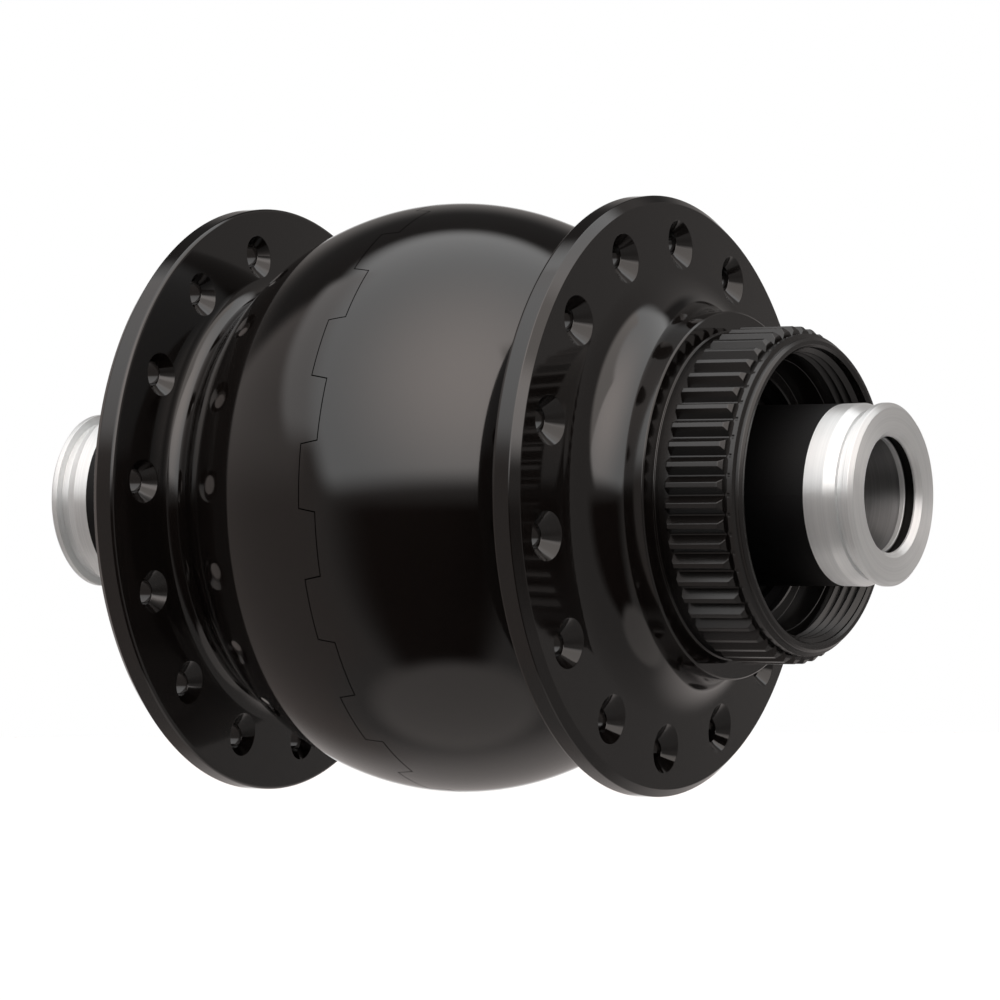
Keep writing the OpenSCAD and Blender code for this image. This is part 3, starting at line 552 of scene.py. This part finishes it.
def edge_bands(*corners):
    """Bands of an outline from its corners, each (radius, place, rounding). Metal is on its left."""
    coarse_turn, fine_turn, large_rounding = 15, 7, 0.3  # degrees to a step, and mm
    spots = np.array([c[:2] for c in corners], float)
    bands, start = [], spots[0]
    for i in range(1, len(spots)):
        along = spots[i] - spots[i - 1]
        along = along / np.linalg.norm(along)
        normal = np.array([along[1], -along[0]])
        rounding = corners[i][2] if i + 1 < len(spots) else 0
        if rounding == 0:
            bands.append((np.array([start, spots[i]]), np.array([normal, normal])))
            start = spots[i]
            continue
        onward = spots[i + 1] - spots[i]
        onward = onward / np.linalg.norm(onward)
        turn = math.atan2(along[0] * onward[1] - along[1] * onward[0], along @ onward)
        reach = rounding * math.tan(abs(turn) / 2)
        end = spots[i] - along * reach
        bands.append((np.array([start, end]), np.array([normal, normal])))
        bulge = math.copysign(1, turn)
        first = math.atan2(normal[1], normal[0])
        one_turn = math.radians(fine_turn if rounding > large_rounding else coarse_turn)
        t = first + np.linspace(0, turn, max(3, math.ceil(abs(turn) / one_turn)) + 1)
        out = np.stack([np.cos(t), np.sin(t)], 1)
        bands.append((end - bulge * rounding * normal + bulge * rounding * out, out))
        start = spots[i] + onward * reach
    return bands


# The disc mount's spline: cut into the shell's end before it is anodised. Every tooth has a rounded
# tip, two flanks and a flat groove beside it, and a thin lip runs round past the teeth.
tip_r, groove_r, neck_r, lip_r, mouth_r = 17.7, 16.75, 16.65, 16.87, 16.45
spline_from, spline_to = 32.6, 39.2
pitch = 360 / spline_teeth
tooth_column = np.arange(columns) + 5  # the first tooth starts five columns before the first hole
tooth_centres = pitch / 2 + tooth_column // per_tooth * pitch


def spline_rings(skin, last, last_angles):
    """Rings over the spline's teeth. Each tooth has seven vertices from groove to groove."""
    part = tooth_column % per_tooth
    half_tip, half_root = 0.285, 0.07
    tip_edge, tip_round = 0.28, 0.05  # width in degrees of a tip's rounded edge, and its drop in mm
    half_top = math.pi * tip_r / spline_teeth - half_tip
    spread = (half_top - half_root) / (tip_r - groove_r)

    def angles_at(r):
        """Vertex angles at one radius of the teeth."""
        groove = math.degrees(math.asin(min(half_top, half_root + max(0, r - groove_r) * spread) / r))
        root = math.degrees(math.asin(half_root / groove_r))
        land = pitch / 2 - groove
        foot = pitch / 2 - root
        top = min(land + 0.04, foot - 0.03)
        offsets = np.array([-foot, -top, tip_edge - land, 0, land - tip_edge, top, foot])
        return tooth_centres + offsets[part]

    def tooth_ring(r, place):
        """One ring, where r is the tips' radius. The groove cuts what stands above its floor."""
        angles = angles_at(r)
        radius = np.where((part == 0) | (part == 6), min(r, groove_r), r)
        radius = np.where((part == 1) | (part == 5), max(min(r, groove_r), r - tip_round), radius)
        return skin.row(radius, place, angles), angles

    flank_tilt = math.atan(spread)
    cells = [np.flatnonzero(part == p) for p in range(per_tooth)]

    def band(low, high, low_angles, high_angles, low_normal, high_normal, plain):
        """Faces between two rings of teeth, each face with its own part's normal."""
        for p in range(per_tooth):
            here = cells[p]
            there = (here + 1) % columns
            if plain or p in (2, 3):
                skin.strip(low, high, low_angles, high_angles, low_normal, high_normal, here)
                continue
            if p == 6:
                skin.strip(low, high, low_angles, high_angles, (1, 0), (1, 0), here)
                continue
            sign = -1 if p in (0, 1) else 1
            out, round_ = across(tooth_centres[here] + sign * pitch / 2)
            flank = sign * round_ * math.cos(flank_tilt) + out * math.sin(flank_tilt)
            tip_low = skin.lean(low_normal, low_angles[here if p in (4, 5) else there])
            tip_high = skin.lean(high_normal, high_angles[here if p in (4, 5) else there])
            if p == 1:
                normals = (flank, tip_low, tip_high, flank)
            elif p == 4:
                normals = (tip_low, flank, flank, tip_high)
            else:
                normals = (flank,) * 4
            skin.quads((low[here], low[there], high[there], high[here]), normals)

    # Each step: radius, place, section normal before and behind, and whether the faces are plain
    up, down, away = (0, 1), (0, -1), (1, 0)
    round_again = 11  # from this step the rings have no teeth
    steps = [
        (neck_r, spline_from, away, away, True), (tip_r - 0.2, spline_from, down, down, True),
        (tip_r, spline_from + 0.2, (1, -1), (1, -1), False), (tip_r, spline_to - 0.5, away, away, False),
        (tip_r - 0.04, spline_to - 0.42, away, (1, 0.7), False),
        (tip_r - 0.41, spline_to - 0.05, (1, 1), (1, 1), False),
        (tip_r - 0.47, spline_to, (1, 1), (0.3, 1), False),
        (neck_r, spline_to, up, up, True), (neck_r, spline_to + 0.35, away, away, True),
        (lip_r, spline_to + 0.35, down, down, True), (lip_r, spline_to + 0.65, away, away, False),
        (lip_r, spline_to + 0.65, down, down, True), (lip_r, spline_to + 0.9, away, away, True),
        (mouth_r, spline_to + 1.1, (0.45, 0.9), (0.45, 0.9), True),
    ]
    for number, (r, place, low_normal, high_normal, plain) in enumerate(steps):
        if number < round_again:
            ring, angles = tooth_ring(r, place)
        else:
            angles = last_angles
            ring = skin.row(r, place, angles)
        band(last, ring, last_angles, angles, np.array(low_normal) / np.hypot(*low_normal),
             np.array(high_normal) / np.hypot(*high_normal), plain)
        last, last_angles = ring, angles
    return last, last_angles


# Flanges and barrel, in millimetres, as the solids have them. The barrel's section is an arc that
# crowns out from a centre off the axle, and each flange leans outwards towards its neck.
flange_r, rim_chamfer, rim_t, flange_lean = 31.85, 0.8, 2.1, 5.5
lean_slope = math.tan(math.radians(flange_lean))
inner_edge, outer_edge, chamfer_edge = 0.45, 0.2, 0.15
hole_circle, hole_r, hole_edge = 27.0, 1.3, 0.05
sink_radii = {"inner": 2.3, "outer": 2.6}
crown_r, crown_centre, barrel_mid = 29.0, 2.75, -2.0
wall_arc_r, ring_bore_r, ring_lip_r, ring_lip = 26.4, 28.21, 26.8, 2.0
barrel_r, seam_gap, seam_depth, seam_lean = 31.75, 0.12, 2.01, 0.1895
seam_mean_half = barrel_r * math.sin(math.radians(90 / spoke_holes))
seam_slope = 2 * seam_lean / seam_depth

# A spoke hole is cut from a square patch of the flange's face, this many columns and rings wide
patch_half, patch_bands = 7, 12
patch_low, inner_patch_high, outer_patch_high = 24.0, 29.7, 29.9


def lean_at(r):
    """How far a flange's face has leant outwards at a radius."""
    return (flange_r - r) * lean_slope


def hole_patch(skin, rows, angles, radii, outwards, hole_column, sink_r, place):
    """Fills the square round one spoke hole and runs down its countersink. Gives the last ring."""
    fan = (0.3, 0.6, 0.85, 1.0)  # rings from the square to the hole's rim, as shares of the way
    slant = 0.7 * hole_edge  # an edge's reach down the cone, on each axis

    # The square's border, once round from its low corner
    cols = [(hole_column + c) % columns for c in range(-patch_half, patch_half + 1)]
    loop = [rows[0][c] for c in cols[:-1]] + [row[cols[-1]] for row in rows[:-1]]
    loop += [rows[-1][c] for c in cols[:0:-1]] + [row[cols[0]] for row in rows[:0:-1]]
    loop_r = [radii[0]] * 2 * patch_half + list(radii[:-1])
    loop_r += [radii[-1]] * 2 * patch_half + list(radii[:0:-1])
    loop_angle = [angles[c] for c in cols[:-1]] + [angles[cols[-1]]] * patch_bands
    loop_angle += [angles[c] for c in cols[:0:-1]] + [angles[cols[0]]] * patch_bands
    loop, loop_r, loop_angle = np.array(loop), np.array(loop_r), np.array(loop_angle)
    centre_angle = angles[hole_column]
    out, round_ = across(np.array(centre_angle))
    off = np.radians(loop_angle - centre_angle)
    x, y = loop_r * np.cos(off) - hole_circle, loop_r * np.sin(off)
    phi = np.arctan2(y, x)
    square = np.hypot(x, y)
    spread = out * np.cos(phi)[:, None] + round_ * np.sin(phi)[:, None]
    axial = np.array([0, skin.side * outwards, 0])

    def radius_at(d):
        """Distance from the axle's line at distance d from the hole's middle."""
        return np.hypot(hole_circle + d * np.cos(phi), d * np.sin(phi))

    def ring_at(d, height):
        """Vertices at distance d from the hole's middle. Heights stand out from the face there."""
        skin.points.append(out * hole_circle + spread * d[:, None] + np.array([0, skin.side * place, 0])
                           + axial * height[:, None])
        skin.count += len(d)
        return np.arange(skin.count - len(d), skin.count)

    def join(a, b, normal_a, normal_b):
        """Faces between two rings round the hole."""
        skin.quads((a, np.roll(a, -1), np.roll(b, -1), b),
                   (normal_a, np.roll(normal_a, -1, 0), np.roll(normal_b, -1, 0), normal_b))

    def face_normal(d):
        """The leaning face's normal at distance d from the hole's middle."""
        away = out * (hole_circle + d * np.cos(phi))[:, None] + round_ * (d * np.sin(phi))[:, None]
        return away / np.linalg.norm(away, axis=1)[:, None] * lean_slope + axial

    # Rim of the cone: it stands further out where the face has leant, which four rounds settle
    rim = np.full(len(phi), float(sink_r))
    for _ in range(4):
        rim = sink_r + lean_slope * (hole_circle - radius_at(rim))
    cone_normal = (axial - spread) / math.sqrt(2)
    last, last_normal = loop, face_normal(square)
    for part in fan:
        d = square + (rim + hole_edge - square) * part
        ring = ring_at(d, lean_slope * (hole_circle - radius_at(d)))
        normal = face_normal(d)
        join(last, ring, last_normal, normal)
        last, last_normal = ring, normal

    def bend(steps, from_d, from_h, corner_d, corner_h, to_d, to_h, from_normal, to_normal):
        """Rings over a rounded corner, from one distance and height to another."""
        nonlocal last, last_normal
        for step in range(1, steps + 1):
            s = step / steps
            a, b, c = (1 - s) ** 2, 2 * s * (1 - s), s * s
            ring = ring_at(a * from_d + b * corner_d + c * to_d, a * from_h + b * corner_h + c * to_h)
            normal = (1 - s) * from_normal + s * to_normal
            normal = normal / np.linalg.norm(normal, axis=1)[:, None]
            join(last, ring, last_normal, normal)
            last, last_normal = ring, normal

    flat = face_normal(rim)
    flat = flat / np.linalg.norm(flat, axis=1)[:, None]
    start = rim + hole_edge
    bend(3, start, lean_slope * (hole_circle - radius_at(start)), rim, rim - sink_r,
         rim - slant, rim - sink_r - slant, flat, cone_normal)
    foot = np.full(len(phi), hole_r)
    cone_end = foot + slant
    ring = ring_at(cone_end, cone_end - sink_r)
    join(last, ring, cone_normal, cone_normal)
    last, last_normal = ring, cone_normal
    bend(3, cone_end, cone_end - sink_r, foot, foot - sink_r,
         foot, foot - sink_r - hole_edge, cone_normal, -spread)
    return last, -spread


def shell_skin(side, flange_place, neck_fillet, seam_tip, gap_bottom, hole_column, boss_r, foot, end,
               mouth, end_wall, wall_r, ring_end, splined):
    """One shell as a closed skin. Its outline runs from the seam out over the barrel and the flange,
    round the end and the mouth, and back along the inside wall and the rotor's seat."""
    skin = Skin(side)
    middle = side * barrel_mid

    # Neck: a fillet that touches the barrel's arc and the flange's leaning inner face
    reach = flange_place - middle
    tilt = math.radians(flange_lean)
    along = np.array([math.cos(tilt), math.sin(tilt)])
    rim = np.array([flange_r - crown_centre, reach]) + neck_fillet * np.array([along[1], -along[0]])
    back = rim @ along
    neck = np.array([crown_centre, middle]) + rim - (
        back - math.sqrt(back ** 2 - rim @ rim + (crown_r + neck_fillet) ** 2)) * along
    crown_end = math.degrees(math.atan2(neck[1] - middle, neck[0] - crown_centre))

    # Outside: barrel, neck, flange with a patch for the holes on each face, and boss
    crown_from = math.degrees(math.asin((gap_bottom - middle) / crown_r))
    bands = [arc_band((crown_centre, middle), crown_r, crown_from, crown_end, 30)]
    bands.append(arc_band(neck, neck_fillet, 180 + crown_end, 90 + flange_lean, 14, hollow=True))
    face_start = bands[-1][0][-1]
    inner_low = max(patch_low, face_start[0] + 0.005)
    chamfer_r = flange_r - rim_chamfer

    def outer_at(r):
        """Place of the flange's outer face at a radius."""
        return flange_place + rim_t + rim_chamfer + lean_at(r)

    def inner_at(r):
        """Place of the flange's inner face at a radius."""
        return flange_place - lean_at(r)

    bands += edge_bands((*face_start, 0), (inner_low, inner_at(inner_low), 0))
    bands.append(("inner", inner_low, inner_patch_high))
    bands += edge_bands(
        (inner_patch_high, inner_at(inner_patch_high), 0), (flange_r, inner_at(flange_r), inner_edge),
        (flange_r, flange_place + rim_t, outer_edge), (chamfer_r, outer_at(chamfer_r), chamfer_edge),
        (outer_patch_high, outer_at(outer_patch_high), 0))
    bands.append(("outer", outer_patch_high, patch_low))
    bands += edge_bands((patch_low, outer_at(patch_low), 0), (boss_r, outer_at(boss_r), foot), *end)
    if splined:
        bands.append(("spline",))

    # Inside: mouth, wall that follows the barrel, lip and bore that hold the rotor's steel ring
    near = math.degrees(math.asin((ring_end - middle + ring_lip) / wall_arc_r))
    far = math.degrees(math.acos((wall_r - crown_centre) / wall_arc_r))
    wall = arc_band((crown_centre, middle), wall_arc_r, far, near, 10, hollow=True)
    bands += edge_bands(*mouth, (mouth[-1][0], end_wall, 0), (wall_r, end_wall, 0), (*wall[0][0], 0))
    bands.append(wall)
    bands += edge_bands((*wall[0][-1], 0), (ring_lip_r, ring_end, 0), (ring_bore_r, ring_end, 0),
                        (ring_bore_r, gap_bottom, 0))

    # Seam borders: the columns at a gap's two sides move to where the cutter left them
    gaps = (hole_column + per_hole * np.arange(spoke_holes)) % columns
    face_cells = np.array([cell for cell in range(columns)
                           if all((cell - gaps + patch_half) % columns >= 2 * patch_half)])

    def half_width(place):
        """Half of a gap's width, in mm."""
        return seam_mean_half - seam_lean + seam_gap / 2 + (gap_bottom - place) * seam_slope

    def bordered(radius, place):
        """Column angles of a ring that the gaps' sides cross."""
        angles = column_angles.copy()
        shift = math.degrees(math.asin(half_width(place) / radius))
        for sign in (-1, 1):
            angles[(gaps + sign * patch_half) % columns] = column_angles[gaps] + sign * shift
        return angles

    # Rings along the outline. The bands "inner" and "outer" are the flange's faces with their holes.
    bore_angles = bordered(ring_bore_r, gap_bottom)
    start_r = bands[0][0][0][0]
    start_angles = bordered(start_r, gap_bottom)
    first = skin.row(start_r, gap_bottom, start_angles)
    last, last_angles = first, start_angles
    hole_rings = {}
    for number, band in enumerate(bands):
        if isinstance(band[0], str) and band[0] == "spline":
            last, last_angles = spline_rings(skin, last, last_angles)
            continue
        if isinstance(band[0], str):
            which, r0, r1 = band
            outwards = 1 if which == "outer" else -1
            at = outer_at if outwards > 0 else inner_at
            radii = np.linspace(r0, r1, patch_bands + 1)
            normal = np.array([lean_slope, outwards])
            rows = [last] + [skin.row(r, at(r), column_angles) for r in radii[1:]]
            for a, b in zip(rows[:-1], rows[1:]):
                skin.strip(a, b, column_angles, column_angles, normal, normal, face_cells)
            hole_rings[which] = [
                hole_patch(skin, rows, column_angles, radii, outwards, hole, sink_radii[which],
                           at(hole_circle))
                for hole in gaps]
            last, last_angles = rows[-1], column_angles
            continue
        points, normals = band
        for i in range(1, len(points)):
            ending = number == len(bands) - 1 and i == len(points) - 1
            angles = bore_angles if ending else column_angles
            row = skin.row(points[i][0], points[i][1], angles)
            skin.strip(last, row, last_angles, angles, normals[i - 1], normals[i])
            last, last_angles = row, angles

    # Spoke holes: the two countersinks' last rings run opposite ways and start at opposite corners
    for (outer, outer_normal), (inner, inner_normal) in zip(hole_rings["outer"], hole_rings["inner"]):
        turned = (4 * patch_half + patch_bands - np.arange(len(outer))) % len(outer)
        inner, inner_normal = inner[turned], inner_normal[turned]
        skin.quads((outer, np.roll(outer, -1), np.roll(inner, -1), inner),
                   (outer_normal, np.roll(outer_normal, -1, 0), np.roll(inner_normal, -1, 0), inner_normal))

    # Seam teeth: bore, tip, crown and two flanks each, and the gaps' floors between them
    tooth_steps = 4
    tooth_width, gap_width = np.arange(per_hole - 2 * patch_half), np.arange(2 * patch_half)
    tooth_cells = np.concatenate([(gap + patch_half + tooth_width) % columns for gap in gaps])
    gap_cells = np.concatenate([(gap - patch_half + gap_width) % columns for gap in gaps])
    down = np.array([0, -1])
    skin.strip(last, first, bore_angles, start_angles, down, down, gap_cells)
    inner_rows, outer_rows = [last], [first]
    inner_angles, outer_angles = [bore_angles], [start_angles]
    outer_normals = [bands[0][1][0]]
    for place in np.linspace(gap_bottom, seam_tip, tooth_steps + 1)[1:]:
        t = math.asin((place - middle) / crown_r)
        crown = crown_centre + crown_r * math.cos(t)
        outer_normals.append(np.array([math.cos(t), math.sin(t)]))
        inner_angles.append(bordered(ring_bore_r, place))
        outer_angles.append(bordered(crown, place))
        inner_rows.append(skin.row(ring_bore_r, place, inner_angles[-1]))
        outer_rows.append(skin.row(crown, place, outer_angles[-1]))
    for i in range(tooth_steps):
        skin.strip(inner_rows[i], inner_rows[i + 1], inner_angles[i], inner_angles[i + 1],
                   (-1, 0), (-1, 0), tooth_cells)
        skin.strip(outer_rows[i], outer_rows[i + 1], outer_angles[i], outer_angles[i + 1],
                   outer_normals[i], outer_normals[i + 1], tooth_cells)
        for sign in (-1, 1):
            edge = (gaps + sign * patch_half) % columns
            _, round_ = across(column_angles[gaps])
            normal = -sign * round_ + np.array([0, -side * seam_slope, 0])
            skin.quads((inner_rows[i][edge], inner_rows[i + 1][edge], outer_rows[i + 1][edge],
                        outer_rows[i][edge]), (normal,) * 4)
    skin.strip(inner_rows[-1], outer_rows[-1], inner_angles[-1], outer_angles[-1], down, down, tooth_cells)
    return skin


# Disc side: collar and spline, and the mouth's steps down to the seal, the ring and the bearing
shell_skin(
    side=1, flange_place=20.4, neck_fillet=1.0, seam_tip=-2.89, gap_bottom=-0.94, hole_column=0,
    boss_r=19.4, foot=5.0,
    end=[(19.4, 30.95, 0.08), (19.25, 31.1, 0.05), (17.3, 31.1, 0.1), (17.3, 31.35, 0.08),
         (16.65, 31.35, 0)],
    mouth=[(16.45, 40.3, 0), (16.45, 40.65, 0.12), (16.15, 40.95, 0.12), (15.75, 40.95, 0.12),
           (15.45, 40.65, 0.1), (15.45, 36.35, 0), (14.3, 36.35, 0.1), (14.3, 33.2, 0.12),
           (13.15, 33.2, 0.06), (13.01, 33.06, 0), (13.01, 32.3, 0), (13.6, 32.3, 0), (13.6, 31.5, 0),
           (13.01, 31.5, 0), (13.01, 26.5, 0), (11.4, 26.5, 0)],
    end_wall=21.9, wall_r=20.88, ring_end=7.5, splined=True,
).build("right_shell_skin", "shell", "right_shell", "black_anodised", shell_finish)
# Wire side: plain boss with the same seats, half a hole's step further round
shell_skin(
    side=-1, flange_place=26.2, neck_fillet=1.8, seam_tip=1.06, gap_bottom=3.01, hole_column=13,
    boss_r=16.4, foot=4.0,
    end=[(16.4, 36.4, 0.2), (15.8, 37.0, 0.2), (13.01, 37.0, 0)],
    mouth=[(13.01, 37.0, 0), (13.01, 36.3, 0), (13.6, 36.3, 0), (13.6, 35.5, 0), (13.01, 35.5, 0),
           (13.01, 30.5, 0), (11.4, 30.5, 0)],
    end_wall=27.99, wall_r=19.19, ring_end=11.5, splined=False,
).build("left_shell_skin", "shell", "left_shell", "black_anodised", shell_finish)


# Lock-ring thread: cut into the disc side's mouth at 1 mm pitch, with the crests left flat by the
# tap. Its black oxide catches one bright line on every turn.
def mouth_thread():
    turns, per_turn = 3.6, 180
    first_place, root_r, run_in = 36.65, 15.45, 40  # mm, mm and degrees
    section = [(root_r, -0.46), (14.98, -0.07), (14.95, 0.0), (14.98, 0.07), (root_r, 0.46)]
    slopes = [(-0.64, -0.77), (-0.8, -0.6), (-1, 0), (-0.8, 0.6), (-0.64, 0.77)]
    skin = Skin(1)
    angles = np.arange(int(turns * per_turn)) * 360 / per_turn
    fade = np.clip(np.minimum(angles, angles[-1] - angles) / run_in, 0, 1)
    rows = [skin.row(root_r - (root_r - r) * fade, first_place + angles / 360 + rise, angles)
            for r, rise in section]
    here, there = np.arange(len(angles) - 1), np.arange(1, len(angles))
    for i in range(4):
        low, high = slopes[i], slopes[i + 1]
        if i in (0, 3):
            low = high = (-0.64, -0.77 if i == 0 else 0.77)
        skin.quads((rows[i][here], rows[i][there], rows[i + 1][there], rows[i + 1][here]),
                   (skin.lean(low, angles[here]), skin.lean(low, angles[there]),
                    skin.lean(high, angles[there]), skin.lean(high, angles[here])))
    return skin


mouth_thread().build("mouth_thread", "shell", None, "black_anodised", shell_finish)


# Spacer sleeves: aluminium tube, cut to length, blasted and anodised black. The blasted face
# scatters what the dye doesn't drink, so they show no highlight.
def black_anodised_matt():
    material, tree = new_material("black_anodised_matt")
    place = add_node(tree, "TexCoord").outputs["Object"]
    blast = add_node(tree, "TexNoise", {"Vector": place, "Scale": 1 / (0.15 * MM), "Detail": 2.0})
    bump = add_node(tree, "Bump", {"Height": blast.outputs[0], "Strength": 0.5, "Distance": 0.02 * MM})
    oxide = add_node(tree, "BsdfPrincipled", {
        "Base Color": linear("#040405"), "Roughness": 0.55, "IOR": 1.35, "Normal": bump.outputs[0],
    })
    add_node(tree, "OutputMaterial", {"Surface": oxide.outputs[0]})
    return material


dress(black_anodised_matt(), "right_sleeve", "left_sleeve")


# End caps: the same alloy as the axle, faced and turned after pressing on, and left bare. Handling
# has dulled them a little, so they shine in a broad white band. Behind the rim a ramp and a groove
# guide the fork's dropout, and a lock groove runs round the bore, its inside painted near-black as shade.
def end_cap(side, length, name, finish):
    """One cap as a closed skin. Its outline starts at the sleeve and goes out over the rim."""
    face, cap_r, sleeve_end_r, bore_r, seat_r = 50.0, 9.55, 9.5, 6.05, 8.52
    ramp_foot_r, groove_r, rim_face_r, bore_chamfer = 8.98, 8.6, 9.05, 0.55
    lock_r = bore_r + 0.5
    outline = [
        (sleeve_end_r, face - length, 0), (cap_r, face - 3.3, 0.08), (ramp_foot_r, face - 2.15, 0.06),
        (groove_r, face - 2.1, 0.06), (groove_r, face - 1.1, 0.06), (cap_r, face - 1.05, 0.08),
        (cap_r, face - 0.45, 0.15), (rim_face_r, face, 0.08), (bore_r + bore_chamfer, face, 0.08),
        (bore_r, face - bore_chamfer, 0.08), (bore_r, face - 0.75, 0), (lock_r, face - 0.75, 0),
        (lock_r, face - 1.85, 0), (bore_r, face - 1.85, 0.06), (bore_r, face - 2.4, 0),
        (seat_r, face - 2.4, 0), (seat_r, face - length, 0), (sleeve_end_r, face - length, 0),
    ]
    skin = Skin(side)
    first = last = skin.row(sleeve_end_r, face - length, column_angles)
    bands = edge_bands(*outline)
    for number, (points, normals) in enumerate(bands):
        for i in range(1, len(points)):
            closing = number == len(bands) - 1
            row = first if closing else skin.row(points[i][0], points[i][1], column_angles)
            skin.strip(last, row, column_angles, column_angles, normals[i - 1], normals[i])
            last = row
    skin.build(name + "_turned", "axle", name, "bare_aluminium", finish)


# The four limits paint the lock groove near-black: painted shade
cap_finish = turned_bare_aluminium(
    "turned_aluminium_cap", feed=0.22 * MM, roughness=0.4, dark="#d9dcdd", light="#f6f8f8",
    metallic=0.7, painted_groove_shade=((6.1, 6.3), (48.05, 48.15), (49.35, 49.25), (7.0, 6.9)))
end_cap(1, 5.6, "right_end_cap", cap_finish)
end_cap(-1, 4.9, "left_end_cap", cap_finish)
